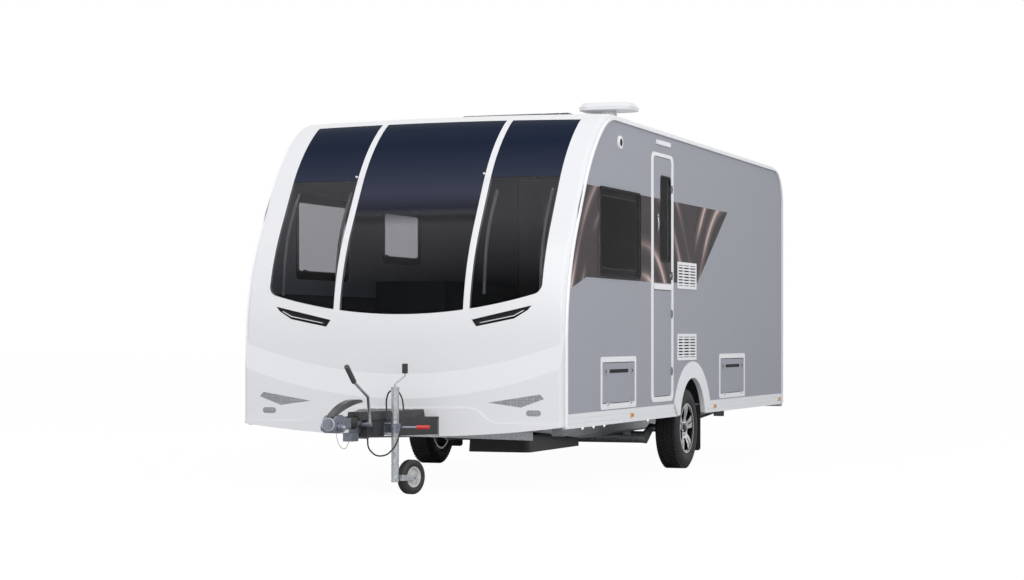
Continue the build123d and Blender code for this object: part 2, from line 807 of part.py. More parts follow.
# Interior seen through the glass
bulkhead_station = 4080.0
with BuildPart() as bulkhead:
    with BuildSketch(front_plane(at(bulkhead_station))):
        with Locations((0, (floor_top + 2400) / 2)):
            Rectangle(2 * inner_x, 2400 - floor_top)
        with Locations((-420, floor_top + 920)):
            Rectangle(560, 1840, mode=Mode.SUBTRACT)
    extrude(amount=20)

with BuildPart() as sofas:
    for sign in (-1, 1):
        slab(sign * 470, sign * (inner_x - 1), at(140), at(1760), floor_top, 900)
        slab(sign * (inner_x - 160), sign * (inner_x - 1), at(200), at(1700), 900, 1290)
    slab(-470, 470, at(140), at(640), floor_top, 900)

with BuildPart() as kitchen:
    slab(-inner_x + 1, -540, at(2050), at(3600), floor_top, 1420)
    rod((-box_inner + 2, at(axle_station), tyre_radius), (-inner_x, at(axle_station), tyre_radius),
        box_radius + 2, mode=Mode.SUBTRACT)
with BuildPart() as interior:
    add(bulkhead.part)
    add(sofas.part)
    add(kitchen.part)
save(interior.part, "interior_fittings")

# Chassis: stations of the rails' ends and of the deep middle, their lightening holes and the cross members
rail_run = (60.0, 5700.0)
deep_run = (500.0, 1600.0, 4300.0)
rail_holes = (1750, 2000, 2250, 3350, 3600, 3850, 4100)
rail_hole_radius = 52.0
cross_stations = (900.0, 2300.0, 4400.0, 5600.0)
cross_width = 50.0
cross_height = 60.0
cross_gauge = 3.0


def member_line(inset):
    """Outline of a side rail seen along X, shrunk in height by an inset."""
    top = floor_bottom - inset
    shallow = floor_bottom - rail_end_depth + inset
    deep = floor_bottom - rail_depth + inset
    return [(at(rail_run[0]), top), (at(rail_run[1]), top), (at(rail_run[1]), shallow),
            (at(deep_run[2]), deep), (at(deep_run[1]), deep), (at(deep_run[0]), shallow),
            (at(rail_run[0]), shallow)]


with BuildPart() as side_member:
    with BuildSketch(side_plane(rail_x)):
        with BuildLine():
            Polyline(*member_line(0), close=True)
        make_face()
    extrude(amount=rail_flange)
    with BuildSketch(side_plane(rail_x + rail_gauge)):
        with BuildLine():
            Polyline(*member_line(rail_gauge), close=True)
        make_face()
    extrude(amount=rail_flange, mode=Mode.SUBTRACT)
    with BuildSketch(side_plane(rail_x - 1)):
        for s in rail_holes:
            with Locations((at(s), floor_bottom - rail_depth / 2)):
                Circle(rail_hole_radius)
    extrude(amount=rail_gauge + 2, mode=Mode.SUBTRACT)

with BuildPart() as cross_members:
    for s in cross_stations:
        half = cross_width / 2
        top = floor_bottom - 2
        slab(slip - rail_x, rail_x - slip, at(s - half), at(s + half), top - cross_height, top)
        slab(-rail_x, rail_x, at(s - half + cross_gauge), at(s + half - cross_gauge),
             top - cross_height + cross_gauge, top - cross_gauge, mode=Mode.SUBTRACT)

slant = hypot(1, frame_slope)
frame_dir = (frame_slope / slant, 1 / slant, 0)
frame_length = (rail_x - frame_tip_x - frame_half * frame_dir[1] - slip) / frame_dir[0]
frame_plane = Plane(origin=(frame_tip_x, at(frame_tip), 0), x_dir=frame_dir,
                    z_dir=(frame_dir[1], -frame_dir[0], 0))


def draw_line(inset):
    """Outline of a drawbar rail along its own length, deeper towards the rear."""
    return [(0, 385 + inset), (frame_length, 300 + inset), (frame_length, 478 - inset), (0, 470 - inset)]


with BuildPart() as draw_rail:
    with BuildSketch(frame_plane.offset(-frame_half)):
        with BuildLine():
            Polyline(*draw_line(0), close=True)
        make_face()
    extrude(amount=2 * frame_half)
    with BuildSketch(frame_plane.offset(-frame_half)):
        with BuildLine():
            Polyline(*draw_line(rail_gauge), close=True)
        make_face()
    extrude(amount=2 * frame_half - rail_gauge, mode=Mode.SUBTRACT)
save(mirrored(draw_rail.part), "drawbar_rails")

# Axle with its trailing arms, stubs and brake plates
axle_z = floor_bottom - rail_depth - axle_tube
arm_station = axle_station - arm_reach
arm_x = 792.0
arm_gauge = 20.0
stub_radius = 18.0
plate_x = 880.0
plate_radius = 118.0
drum_x = 892.0
with BuildPart() as axle:
    rod((-arm_x, at(arm_station), axle_z), (arm_x, at(arm_station), axle_z), axle_tube)
    for sign in (-1, 1):
        slab(sign * (rail_x - 10), sign * (rail_x + rail_flange + 10), at(arm_station - 55), at(arm_station + 55),
             floor_bottom - rail_depth - 24, floor_bottom - rail_depth)
        with BuildSketch(side_plane(sign * arm_x)):
            with Locations((at(arm_station), axle_z)):
                Circle(axle_tube + 3)
            with Locations((at(axle_station), tyre_radius)):
                Circle(34)
            make_hull()
        extrude(amount=sign * arm_gauge)
        rod((sign * (arm_x + 5), at(axle_station), tyre_radius), (sign * (plate_x + 2), at(axle_station),
            tyre_radius), 30)
        rod((sign * plate_x, at(axle_station), tyre_radius), (sign * (plate_x + 6), at(axle_station),
            tyre_radius), plate_radius)
        rod((sign * plate_x, at(axle_station), tyre_radius), (sign * 930, at(axle_station), tyre_radius),
            stub_radius)
    rod((30, at(-628), 372), (30, at(arm_station) - axle_tube + 1, axle_z + 6), 5)
save(axle.part, "axle")

# Wheels
hub_plane = Plane(origin=(0, at(axle_station), tyre_radius), x_dir=(1, 0, 0), z_dir=(0, -1, 0))
hub_axis = Axis((0, at(axle_station), tyre_radius), (1, 0, 0))
tyre_in = wheel_face - tyre_width
bead_in = tyre_in + 18
bead_out = wheel_face - 18
tyre_section = [(bead_in, bead_radius + slip), (bead_out, bead_radius + slip), (bead_out, 192),
                (wheel_face - 4, 212), (wheel_face, 235), (wheel_face - 5, 280), (wheel_face - 13, 298),
                (wheel_face - 28, tyre_radius), (tyre_in + 28, tyre_radius), (tyre_in + 13, 298),
                (tyre_in + 5, 280), (tyre_in, 235), (tyre_in + 4, 212), (bead_in, 192)]
with BuildPart() as tyre:
    with BuildSketch(hub_plane):
        with BuildLine():
            Polyline(*tyre_section, close=True)
        make_face()
    revolve(axis=hub_axis)

rim_gauge = 6.0
lip_in = bead_in - slip
lip_out = bead_out + slip
spokes = 5
dish = [(1046, 25), (1066, 25), (1068, 60), (1080, 120), (1084, 178), (1064, 178), (1060, 120), (1048, 60)]
with BuildPart() as rim:
    with BuildSketch(hub_plane):
        with BuildLine():
            Polyline((lip_in - 7, bead_radius - rim_gauge), (lip_in - 7, rim_lip), (lip_in, rim_lip),
                     (lip_in, bead_radius), (lip_out, bead_radius), (lip_out, rim_lip), (lip_out + 7, rim_lip),
                     (lip_out + 7, bead_radius - rim_gauge), close=True)
        make_face()
        with BuildLine():
            Polyline(*dish, close=True)
        make_face()
    revolve(axis=hub_axis)
    with BuildSketch(side_plane(1030)):
        with Locations((at(axle_station), tyre_radius)):
            with PolarLocations(0, spokes, start_angle=90 + 36):
                with Locations((120, 0)):
                    Trapezoid(112, 92, 68, rotation=90)
            with PolarLocations(0, spokes, start_angle=90):
                with Locations((126, 0)):
                    SlotOverall(78, 10)
    extrude(amount=80, mode=Mode.SUBTRACT)
    rod((1040, at(axle_station), tyre_radius), (1072, at(axle_station), tyre_radius), 30)
    rod((drum_x + 50, at(axle_station), tyre_radius), (1052, at(axle_station), tyre_radius), 58)
    rod((drum_x, at(axle_station), tyre_radius), (drum_x + 60, at(axle_station), tyre_radius), plate_radius - 3)
    rod((drum_x - 1, at(axle_station), tyre_radius), (940, at(axle_station), tyre_radius), stub_radius + slip,
        mode=Mode.SUBTRACT)
for side in ("left", "right"):
    save(tyre.part if side == "left" else tyre.part.mirror(Plane.YZ), f"tyre_{side}")
    save(rim.part if side == "left" else rim.part.mirror(Plane.YZ), f"rim_{side}")

# Coupling, overrun unit and stabiliser
ball_station = -1070.0
head_rear = -900.0
head_side = [(-1136, 442), (-1136, 496), (-1100, 520), (-1035, 524), (-960, 502), (head_rear, 500),
             (head_rear, 436), (-980, 436), (-1010, 414), (-1108, 414)]
with BuildPart() as coupling_head:
    with BuildSketch(side_plane(-42)):
        with BuildLine():
            FilletPolyline(*[(at(s), z) for s, z in head_side], radius=[8, 12, 14, 14, 20, 0, 0, 12, 8, 12],
                           close=True)
        make_face()
    extrude(amount=84)
    rod((0, at(-1143), hitch_z), (0, at(-1130), hitch_z), 38)
    rod((-74, at(ball_station), 448), (74, at(ball_station), 448), 25)
    rod((-60, at(ball_station), 448), (60, at(ball_station), 448), 32)
    rod((0, at(ball_station), 400), (0, at(ball_station), 440), ball_radius, mode=Mode.SUBTRACT)
    with Locations((0, at(ball_station), 440)):
        Sphere(ball_radius, mode=Mode.SUBTRACT)
save(coupling_head.part, "coupling_head")

with BuildPart() as handle:
    with BuildSketch(side_plane(-23)):
        with BuildLine():
            ThreePointArc((at(-1128), 512), (at(-985), 577), (at(-690), 606))
            Line((at(-690), 606), (at(-684), 590))
            ThreePointArc((at(-684), 590), (at(-900), 562), (at(-1046), 524.3))
            Line((at(-1046), 524.3), (at(-1090), 524.3))
            Line((at(-1090), 524.3), (at(-1128), 512))
        make_face()
    extrude(amount=46)
    add(coupling_head.part, mode=Mode.SUBTRACT)

with BuildPart() as overrun:
    rod((0, at(head_rear), hitch_z), (0, at(-790), hitch_z), 25)
    rod((0, at(-790), hitch_z), (0, at(-632), hitch_z), 37)
    slab(-40, 40, at(-641), at(-629), 360, 508)
    slab(-32, 32, at(-860), at(-770), 352, 405)
    slab(-16, 16, at(-786), at(-700), 400, 445)
    slab(-26, 26, at(-788), at(-770), 390, 450)
    rod((36, at(-729), 455), (104, at(-729), 455), 14)
save(overrun.part, "overrun_unit")

with BuildPart() as gaiter:
    ribs = 5
    pitch = (-790 - head_rear - 2 * slip) / ribs
    with BuildSketch(Plane(origin=(0, 0, hitch_z), x_dir=(0, 1, 0), z_dir=(1, 0, 0))):
        with BuildLine():
            wave = [(at(head_rear) + slip, 25 + slip)]
            for i in range(ribs):
                y = at(head_rear) + slip + i * pitch
                wave += [(y, 31), (y + pitch / 2, 41)]
            wave += [(at(-790) - slip, 31), (at(-790) - slip, 25 + slip)]
            Polyline(*wave, close=True)
        make_face()
    revolve(axis=Axis((0, 0, hitch_z), (0, 1, 0)))
save(gaiter.part, "coupling_gaiter")

lever_x = 93.0
lever = [(-729, 455), (-759, 627), (-968, 724), (-1078, 820)]
with BuildPart() as handbrake:
    points = [(lever_x, at(s), z) for s, z in lever]
    rod(points[0], points[1], 9)
    rod(points[1], points[2], 9)
    with Locations(points[1], points[2]):
        Sphere(9)
    rod(points[2], points[3], 16)
    with BuildSketch(side_plane(0)):
        with Locations((at(-729), 455)):
            Circle(14 + slip)
    extrude(amount=200, mode=Mode.SUBTRACT)
with BuildPart() as levers:
    add(handle.part)
    add(handbrake.part)
save(levers.part, "hitch_levers")

# Moulded cover over the drawbar
cover_rear = -(edge_depth + bow + bumper_out + step_out + 1)
cover_gauge = 4.0
cover_low = 372.0
cover_step = 480.0
cover_high = 532.0


def drawbar_plan(inset):
    """Plan of the cover's lower part round the drawbar rails."""
    side = slip + cover_gauge - inset
    tip = drawbar_edge(-600) + side
    half = [(tip, -700 + inset), (tip, -600), (drawbar_edge(cover_rear) + side, cover_rear)]
    Polyline(*[(x, at(s)) for x, s in half], *[(-x, at(s)) for x, s in reversed(half)], close=True)


def hump_plan(inset):
    """Plan of the raised part over the overrun unit."""
    half = [(46 - inset, -774 + inset), (56 - inset, -640), (176 - inset, -335), (196 - inset, -280),
            (196 - inset, cover_rear)]
    Polyline(*[(x, at(s)) for x, s in half], *[(-x, at(s)) for x, s in reversed(half)], close=True)


with BuildPart() as drawbar_cover:
    with BuildSketch(Plane.XY.offset(cover_low)):
        with BuildLine():
            drawbar_plan(0)
        make_face()
    extrude(amount=cover_step + cover_gauge - cover_low)
    with BuildSketch(Plane.XY.offset(cover_step)):
        with BuildLine():
            hump_plan(0)
        make_face()
    extrude(amount=cover_high - cover_step, taper=8)
    with BuildSketch(Plane.XY.offset(cover_low)):
        with BuildLine():
            drawbar_plan(cover_gauge)
        make_face()
    extrude(amount=cover_step - cover_low, mode=Mode.SUBTRACT)
    with BuildSketch(Plane.XY.offset(cover_step - 1)):
        with BuildLine():
            hump_plan(cover_gauge)
        make_face()
    extrude(amount=cover_high - cover_step - cover_gauge + 1, taper=8, mode=Mode.SUBTRACT)
    rod((0, at(-800), hitch_z), (0, at(-600), hitch_z), 41, mode=Mode.SUBTRACT)
    slab(-far, far, at(cover_rear) - 6, at(100), 0, cover_step, mode=Mode.SUBTRACT)
    with BuildSketch(frame_plane.offset(frame_half - 4)):
        with Locations((158, 405)):
            Rectangle(72, 104)
    extrude(amount=20, mode=Mode.SUBTRACT)
save(drawbar_cover.part, "drawbar_cover")

# Jockey wheel: the stand on its clamp, the sliding leg, the swivelling fork and the wheel
jockey_y = at(jockey_station)
crank_reach = 62.0
crank_side = (0.937, 0.35)
with BuildPart() as jockey_stand:
    rod((jockey_x, jockey_y, sleeve_top + play), (jockey_x, jockey_y, tube_top), jockey_tube)
    rod((jockey_x, jockey_y, sleeve_top + play - 1), (jockey_x, jockey_y, tube_top - 8), jockey_inner + slip,
        mode=Mode.SUBTRACT)
    rod((jockey_x, jockey_y, tube_top - 22), (jockey_x, jockey_y, tube_top + 8), jockey_tube + 3)
    rod((jockey_x, jockey_y, tube_top - 23), (jockey_x, jockey_y, tube_top - 8), jockey_inner + slip,
        mode=Mode.SUBTRACT)
    top = tube_top + 30
    arm = (jockey_x + crank_reach * crank_side[0], jockey_y + crank_reach * crank_side[1])
    rod((jockey_x, jockey_y, tube_top), (jockey_x, jockey_y, top), 6)
    rod((jockey_x, jockey_y, top), (*arm, top + 50), 6)
    rod((*arm, top + 50), (*arm, top + 72), 6)
    with Locations((jockey_x, jockey_y, top), (*arm, top + 50)):
        Sphere(6)
    rod((*arm, top + 68), (*arm, top + 122), 17)
    fillet(edges().filter_by(GeomType.CIRCLE).group_by(Axis.Z)[-1], 6)
save(jockey_stand.part, "jockey_stand")

with BuildPart() as jockey_clamp:
    with BuildSketch(frame_plane.offset(frame_half + slip)):
        with Locations((156.4, 425)):
            Rectangle(56, 54)
    extrude(amount=66)
    rod((jockey_x, jockey_y, 396), (jockey_x, jockey_y, 454), jockey_tube + 12)
    rod((jockey_x, jockey_y, 430), (jockey_x + 150 * crank_side[0], jockey_y + 150 * crank_side[1], 430), 7)
    rod((jockey_x + 140 * crank_side[0], jockey_y + 140 * crank_side[1], 430),
        (jockey_x + 215 * crank_side[0], jockey_y + 215 * crank_side[1], 430), 12)
    rod((jockey_x, jockey_y, 380), (jockey_x, jockey_y, 470), jockey_tube + slip, mode=Mode.SUBTRACT)
save(jockey_clamp.part, "jockey_clamp")

leg_top = 600.0
with BuildPart() as jockey_leg:
    rod((jockey_x, jockey_y, sleeve_low - 8), (jockey_x, jockey_y, leg_top), jockey_inner)
    rod((jockey_x, jockey_y, sleeve_low - 8), (jockey_x, jockey_y, sleeve_low - slip), jockey_tube)
save(jockey_leg.part, "jockey_leg")

turn = radians(jockey_turn)
trail_dir = (sin(turn), cos(turn), 0)
cross_dir = (cos(turn), -sin(turn), 0)
hub_y = jockey_y + jockey_trail * trail_dir[1]
hub_x = jockey_x + jockey_trail * trail_dir[0]
fork_plane = Plane(origin=(jockey_x, jockey_y, 0), x_dir=trail_dir, z_dir=(trail_dir[1], -trail_dir[0], 0))
arm_in = jockey_width / 2 + 4
with BuildPart() as jockey_fork:
    rod((jockey_x, jockey_y, sleeve_low), (jockey_x, jockey_y, sleeve_top), jockey_tube)
    with BuildSketch(Plane(origin=(jockey_x, jockey_y, sleeve_low), x_dir=trail_dir)):
        with Locations((26, 0)):
            Rectangle(12, 2 * arm_in + 10)
    extrude(amount=38)
    for side in (-1, 1):
        with BuildSketch(fork_plane.offset(side * arm_in)):
            with Locations((20 + jockey_trail / 2, jockey_radius)):
                Rectangle(jockey_trail, 36)
            with Locations((jockey_trail, jockey_radius)):
                Circle(22)
        extrude(amount=side * 5)
    pin_half = arm_in + 12
    rod((hub_x - pin_half * cross_dir[0], hub_y - pin_half * cross_dir[1], jockey_radius),
        (hub_x + pin_half * cross_dir[0], hub_y + pin_half * cross_dir[1], jockey_radius), 8)
    rod((jockey_x, jockey_y, sleeve_low - 1), (jockey_x, jockey_y, sleeve_top + 1), jockey_inner + slip,
        mode=Mode.SUBTRACT)
save(jockey_fork.part, "jockey_fork")

wheel_facing = (-trail_dir[0], -trail_dir[1], 0)
wheel_plane = Plane(origin=(hub_x, hub_y, jockey_radius), x_dir=cross_dir, z_dir=wheel_facing)
wheel_axis = Axis((hub_x, hub_y, jockey_radius), cross_dir)
half = jockey_width / 2
with BuildPart() as jockey_tyre:
    with BuildSketch(wheel_plane):
        with BuildLine():
            Polyline((-half + 5, 66), (half - 5, 66), (half, 86), (half - 3, 102), (half - 10, jockey_radius),
                     (-half + 10, jockey_radius), (-half + 3, 102), (-half, 86), close=True)
        make_face()
    revolve(axis=wheel_axis)
save(jockey_tyre.part, "jockey_tyre")

with BuildPart() as jockey_hub:
    with BuildSketch(wheel_plane):
        with BuildLine():
            Polyline((-half, 8 + slip), (half, 8 + slip), (half, 20), (6, 26), (6, 54), (half - 6, 60),
                     (half - 6, 66 - slip), (-half + 6, 66 - slip), (-half + 6, 60), (-6, 54), (-6, 26),
                     (-half, 20), close=True)
        make_face()
    revolve(axis=wheel_axis)
save(jockey_hub.part, "jockey_hub")

# Corner steadies: pivot station, direction of the foot along the body
steadies = {"front": (1480.0, -1), "rear": (4560.0, 1)}
steady_x = half_width - 380.0
steady_z = 440.0
steady_droop = radians(8.0)
steady_reach = 545.0
with BuildPart() as brackets:
    for station, way in steadies.values():
        for side in (-1, 1):
            slab(steady_x + side * 18, steady_x + side * 24, at(station - 22), at(station + 22), steady_z - 16,
                 floor_bottom)
        rod((steady_x - 24, at(station), steady_z), (steady_x + 24, at(station), steady_z), 8)
with BuildPart() as chassis:
    add(mirrored(side_member.part))
    add(cross_members.part)
    add(mirrored(brackets.part))
save(chassis.part, "chassis_frame")

for place, (station, way) in steadies.items():
    with BuildPart() as steady:
        along = (0, way * cos(steady_droop), -sin(steady_droop))
        run = Plane(origin=(steady_x, at(station), steady_z), x_dir=along, z_dir=(way, 0, 0))
        with BuildSketch(run.offset(-12)):
            with BuildLine():
                Polyline((-14, -16), (60, -20), (steady_reach, -12), (steady_reach, 14), (60, 20), (-14, 16),
                         close=True)
            make_face()
        extrude(amount=24)
        with BuildSketch(run.offset(-8)):
            with BuildLine():
                Polyline((40, -40), (steady_reach - 40, -40), (steady_reach - 40, 8), (40, 12), close=True)
            make_face()
        extrude(amount=16, mode=Mode.SUBTRACT)
        with BuildSketch(run.offset(-45)):
            with Locations((steady_reach + 4, 0)):
                Rectangle(8, 84)
        extrude(amount=90)
        rod((steady_x - 13, at(station), steady_z), (steady_x + 13, at(station), steady_z), 8 + slip,
            mode=Mode.SUBTRACT)
    save(steady.part, f"steady_{place}_left")
    save(steady.part.mirror(Plane.YZ), f"steady_{place}_right")

# Underslung box on hangers
with BuildPart() as under_box:
    with BuildSketch(Plane.XY.offset(215)):
        with Locations((375, at(1310))):
            RectangleRounded(450, 1080, 40)
    extrude(amount=115, taper=4)
    for s in (1000, 1620):
        for x in (180, 570):
            slab(x - 3, x + 3, at(s - 25), at(s + 25), 300, floor_bottom)
save(under_box.part, "underslung_box")

# Cables held at both ends, along points as (across, station, height)
supply_diameter = 10.0
breakaway_diameter = 4.0
bend_share = 0.45
supply_route = [(63, -405, 533.2), (66, -418, 600), (100, -452, 655), (152, -455, 672), (200, -475, 622),
                (219, -492, 545), (232, -530, 470), (222, -563, 395), (205, -580, 318), (150, -600, 256),
                (80, -612, 250), (25, -608, 300), (14, -590, 356)]
breakaway_route = [(34, -1100, 413.3), (37, -1092, 372), (39, -1056, 330), (39, -1004, 312), (34, -952, 318),
                   (25, -905, 345), (20, -861, 368)]


def cable(route, diameter):
    """Cable along a route, rounded at each point by an arc that takes its share of the shorter run."""
    points = [Vector(x, at(s), z) for x, s, z in route]
    radii = []
    for a, b, c in zip(points, points[1:], points[2:]):
        turn_half = radians((b - a).get_angle(c - b)) / 2
        shorter = min((b - a).length, (c - b).length)
        radii.append(bend_share * shorter / tan(turn_half))
    print("cable radii", [round(r) for r in radii], "runs",
          [round((b - a).length) for a, b in zip(points, points[1:])])
    with BuildPart() as tube:
        with BuildLine() as path:
            FilletPolyline(*points, radius=radii)
        with BuildSketch(Plane(origin=points[0], z_dir=points[1] - points[0])):
            Circle(diameter / 2)
        sweep(path=path.wire())
    section = pi * diameter ** 2 / 4
    print("cable length", round(path.wire().length), "volume ratio",
          round(tube.part.volume / (path.wire().length * section), 4))
    return tube.part


save(cable(supply_route, supply_diameter), "supply_cable")
save(cable(breakaway_route, breakaway_diameter), "breakaway_cable")
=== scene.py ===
"""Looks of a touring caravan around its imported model: finishes, graphics and small fittings, in metres."""
import math

import bmesh
import bpy
from mathutils import Matrix, Vector


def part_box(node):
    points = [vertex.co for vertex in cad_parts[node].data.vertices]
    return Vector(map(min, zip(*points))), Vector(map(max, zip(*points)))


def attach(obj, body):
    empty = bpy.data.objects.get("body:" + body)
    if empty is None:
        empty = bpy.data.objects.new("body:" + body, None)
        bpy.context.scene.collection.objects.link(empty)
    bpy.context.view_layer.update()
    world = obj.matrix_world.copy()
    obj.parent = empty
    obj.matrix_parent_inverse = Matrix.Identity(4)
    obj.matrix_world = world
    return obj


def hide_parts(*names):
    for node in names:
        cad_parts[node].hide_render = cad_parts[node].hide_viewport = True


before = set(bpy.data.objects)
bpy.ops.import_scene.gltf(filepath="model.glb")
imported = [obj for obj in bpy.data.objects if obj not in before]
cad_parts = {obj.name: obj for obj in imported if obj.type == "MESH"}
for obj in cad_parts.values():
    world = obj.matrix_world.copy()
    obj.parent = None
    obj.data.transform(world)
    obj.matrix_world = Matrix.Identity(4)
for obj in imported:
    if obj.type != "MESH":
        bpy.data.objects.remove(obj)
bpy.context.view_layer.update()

bl_info = {
    "name": "Touring caravan",
    "version": (1, 0, 0),
    "blender": (4, 5, 0),
    "location": "3D View > Sidebar > Caravan",
    "description": "Finishes and fittings of a single-axle touring caravan",
    "category": "Object",
}

BODY = "caravan_body"
SIDES = (("left", 1), ("right", -1))
FRONT_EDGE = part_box("side_wall_left")[0].y
WALL_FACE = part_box("side_wall_left")[1].x
FACE_PROUD = 0.002
GLASS_PROUD = 0.008
AXLE_Y = (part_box("tyre_left")[0].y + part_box("tyre_left")[1].y) / 2
TYRE_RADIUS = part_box("tyre_left")[1].z / 2

# Finish and slot of small pieces that come up often
MOULDED = ("black_moulding", "black_plastic")
CHROMED = ("bright_chrome", "galvanised_steel")
RUBBER = ("soft_rubber", "rubber_black")
SEAM = ("seam_black", "rubber_black")
WHITE = ("white_trim", "trim_white")

# Turns that stand a flat (u, v) drawing on a side wall as (Y, Z), or on the nose or tail as (X, Z)
SIDE_TURN = Matrix(((0, 0, 1, 0), (1, 0, 0, 0), (0, 1, 0, 0), (0, 0, 0, 1)))
NOSE_TURN = Matrix(((1, 0, 0, 0), (0, 0, -1, 0), (0, 1, 0, 0), (0, 0, 0, 1)))

# Openings in the side walls: start, end, low, high, as stations behind the front edge and heights
LEFT_WINDOWS = [(0.680, 1.592, 1.405, 2.007)]
RIGHT_WINDOWS = [(0.680, 1.592, 1.405, 2.007), (2.180, 2.960, 1.560, 2.007), (4.560, 5.160, 1.560, 2.007)]
DOOR_WINDOW = (2.088, 2.343, 1.547, 2.169)
DOOR_SPAN = (1.863, 2.425)
LEAF_SPAN = (1.925, 2.363)
LEFT_LOCKERS = {"locker_front_left": (0.708, 1.502), "locker_rear_left": (3.710, 4.513)}
RIGHT_LOCKERS = {"locker_front_right": (0.708, 1.502), "locker_rear_right": (4.300, 5.000)}
LOCKER_TOP = 0.824
WINDOW_CORNER = 0.040
VENTS = [(2.528, 3.034, 1.360, 1.559), (2.528, 3.034, 0.825, 1.023)]
BAND_LOW = 1.392
BAND_HIGH = 2.000

# Front glazing: where the outer panes are split, and the pillars between the bays
SPLIT_STATION = 0.325
SPLIT_HEIGHT = 2.055
PILLAR_X = 0.461


def at(station):
    """Y of a point given as its distance behind the body's front edge."""
    return FRONT_EDGE + station


def colour_property(name, description, value):
    """A colour among a group's settings."""
    return bpy.props.FloatVectorProperty(name=name, description=description, default=value, subtype="COLOR")


def number_property(name, description, value, unit="NONE"):
    """A number among a group's settings."""
    return bpy.props.FloatProperty(name=name, description=description, default=value, unit=unit)


class CaravanColours(bpy.types.PropertyGroup):
    """Colours that a user would change."""

    gelcoat: colour_property("Gelcoat", "Front, roof and rear mouldings", (0.735, 0.74, 0.765))
    panel: colour_property("Side panels", "Painted side walls, door and lockers", (0.362, 0.376, 0.424))
    trim: colour_property("Trim", "Rails, frames and vents", (0.88, 0.89, 0.92))
    glazing: colour_property("Glazing", "Tint of the windows", (0.50, 0.50, 0.52))
    glazing_top: colour_property("Glazing top", "Coating over the top of the front windows",
                                 (0.008, 0.015, 0.036))
    band: colour_property("Band", "Ground of the side graphic", (0.060, 0.050, 0.054))
    ribbon: colour_property("Ribbon", "Ribbons in the side graphic", (0.56, 0.42, 0.40))


class CaravanSizes(bpy.types.PropertyGroup):
    """Sizes and light levels that a user would change."""

    lens: number_property("Lens", "Focal length of the camera", 78.6, "CAMERA")
    key_power: number_property("Key light", "Power of the large front light", 700.0, "POWER")
    side_power: number_property("Side light", "Power of the light on the door side", 300.0, "POWER")
    fill_power: number_property("Fill light", "Power of the light on the far side", 110.0, "POWER")
    sky: number_property("Sky", "Level of the even light all round", 0.62)
    tread_rows: bpy.props.IntProperty(
        name="Tread rows", description="Tread blocks round one tyre", default=60)
    gasket: number_property("Window rubber", "Width of the rubber round a side window", 0.016, "LENGTH")


# Shader graphs

def node(tree, kind, **values):
    """A new shader node with its settings."""
    made = tree.nodes.new(kind)
    for key, value in values.items():
        setattr(made, key, value)
    return made


def object_point(tree, stretch=(1.0, 1.0, 1.0), turn=(0.0, 0.0, 0.0)):
    """Coordinates fixed to the piece, stretched and turned."""
    mapping = node(tree, "ShaderNodeMapping")
    mapping.inputs["Scale"].default_value = stretch
    mapping.inputs["Rotation"].default_value = turn
    tree.links.new(node(tree, "ShaderNodeTexCoord").outputs["Object"], mapping.inputs["Vector"])
    return mapping.outputs["Vector"]


def noise(tree, scale, detail=4.0, point=None):
    """Level of a noise at a point."""
    texture = node(tree, "ShaderNodeTexNoise")
    texture.inputs["Scale"].default_value = scale
    texture.inputs["Detail"].default_value = detail
    tree.links.new(point or object_point(tree), texture.inputs["Vector"])
    return texture.outputs["Fac"]


def mixed(tree, factor, first, second):
    """Colour between two, each a triple or a socket."""
    mix = node(tree, "ShaderNodeMix", data_type="RGBA")
    tree.links.new(factor, mix.inputs["Factor"])
    for socket, value in ((mix.inputs["A"], first), (mix.inputs["B"], second)):
        if isinstance(value, bpy.types.NodeSocket):
            tree.links.new(value, socket)
        else:
            socket.default_value = (*value, 1.0)
    return mix.outputs["Result"]


def spread(tree, factor, low, high, start=0.0, end=1.0):
    """A factor from start to end, spread over low to high."""
    span = node(tree, "ShaderNodeMapRange")
    tree.links.new(factor, span.inputs["Value"])
    for name, value in (("From Min", start), ("From Max", end), ("To Min", low), ("To Max", high)):
        span.inputs[name].default_value = value
    return span.outputs["Result"]


def raised(tree, height, strength, distance):
    """Normal of a surface that a level raises."""
    bump = node(tree, "ShaderNodeBump")
    bump.inputs["Strength"].default_value = strength
    bump.inputs["Distance"].default_value = distance
    tree.links.new(height, bump.inputs["Height"])
    return bump.outputs["Normal"]


def shaded(colour, amount):
    """A colour made lighter or darker."""
    return tuple(min(1.0, channel * amount) for channel in colour)


def reckoned(tree, operation, first, second=None):
    """Result of a sum on a socket and, where it takes two, a number."""
    made = node(tree, "ShaderNodeMath", operation=operation)
    tree.links.new(first, made.inputs[0])
    if second is not None:
        made.inputs[1].default_value = second
    return made.outputs["Value"]


def paint(tree, shader, factor, first, second):
    """Gives a shader a base colour between two."""
    tree.links.new(mixed(tree, factor, first, second), shader.inputs["Base Color"])


def parted(tree, point):
    """X, Y and Z of a point or a direction."""
    split = node(tree, "ShaderNodeSeparateXYZ")
    tree.links.new(point, split.inputs["Vector"])
    return split.outputs


def finish(name, colour, roughness, tone=0.05, patches=3.0, uneven=0.06, grain=300.0, depth=0.0002,
           **sockets):
    """A surface with cloudy tone, uneven gloss and a fine grain."""
    material = bpy.data.materials.new(name)
    material.use_nodes = True
    tree = material.node_tree
    shader = tree.nodes["Principled BSDF"]
    paint(tree, shader, noise(tree, patches), shaded(colour, 1 - tone), shaded(colour, 1 + tone))
    tree.links.new(spread(tree, noise(tree, patches * 7), max(0.0, roughness - uneven), roughness + uneven),
                   shader.inputs["Roughness"])
    tree.links.new(raised(tree, noise(tree, grain, 3.0), 0.5, depth), shader.inputs["Normal"])
    for key, value in sockets.items():
        shader.inputs[key.replace("_", " ")].default_value = value
    return tree, shader


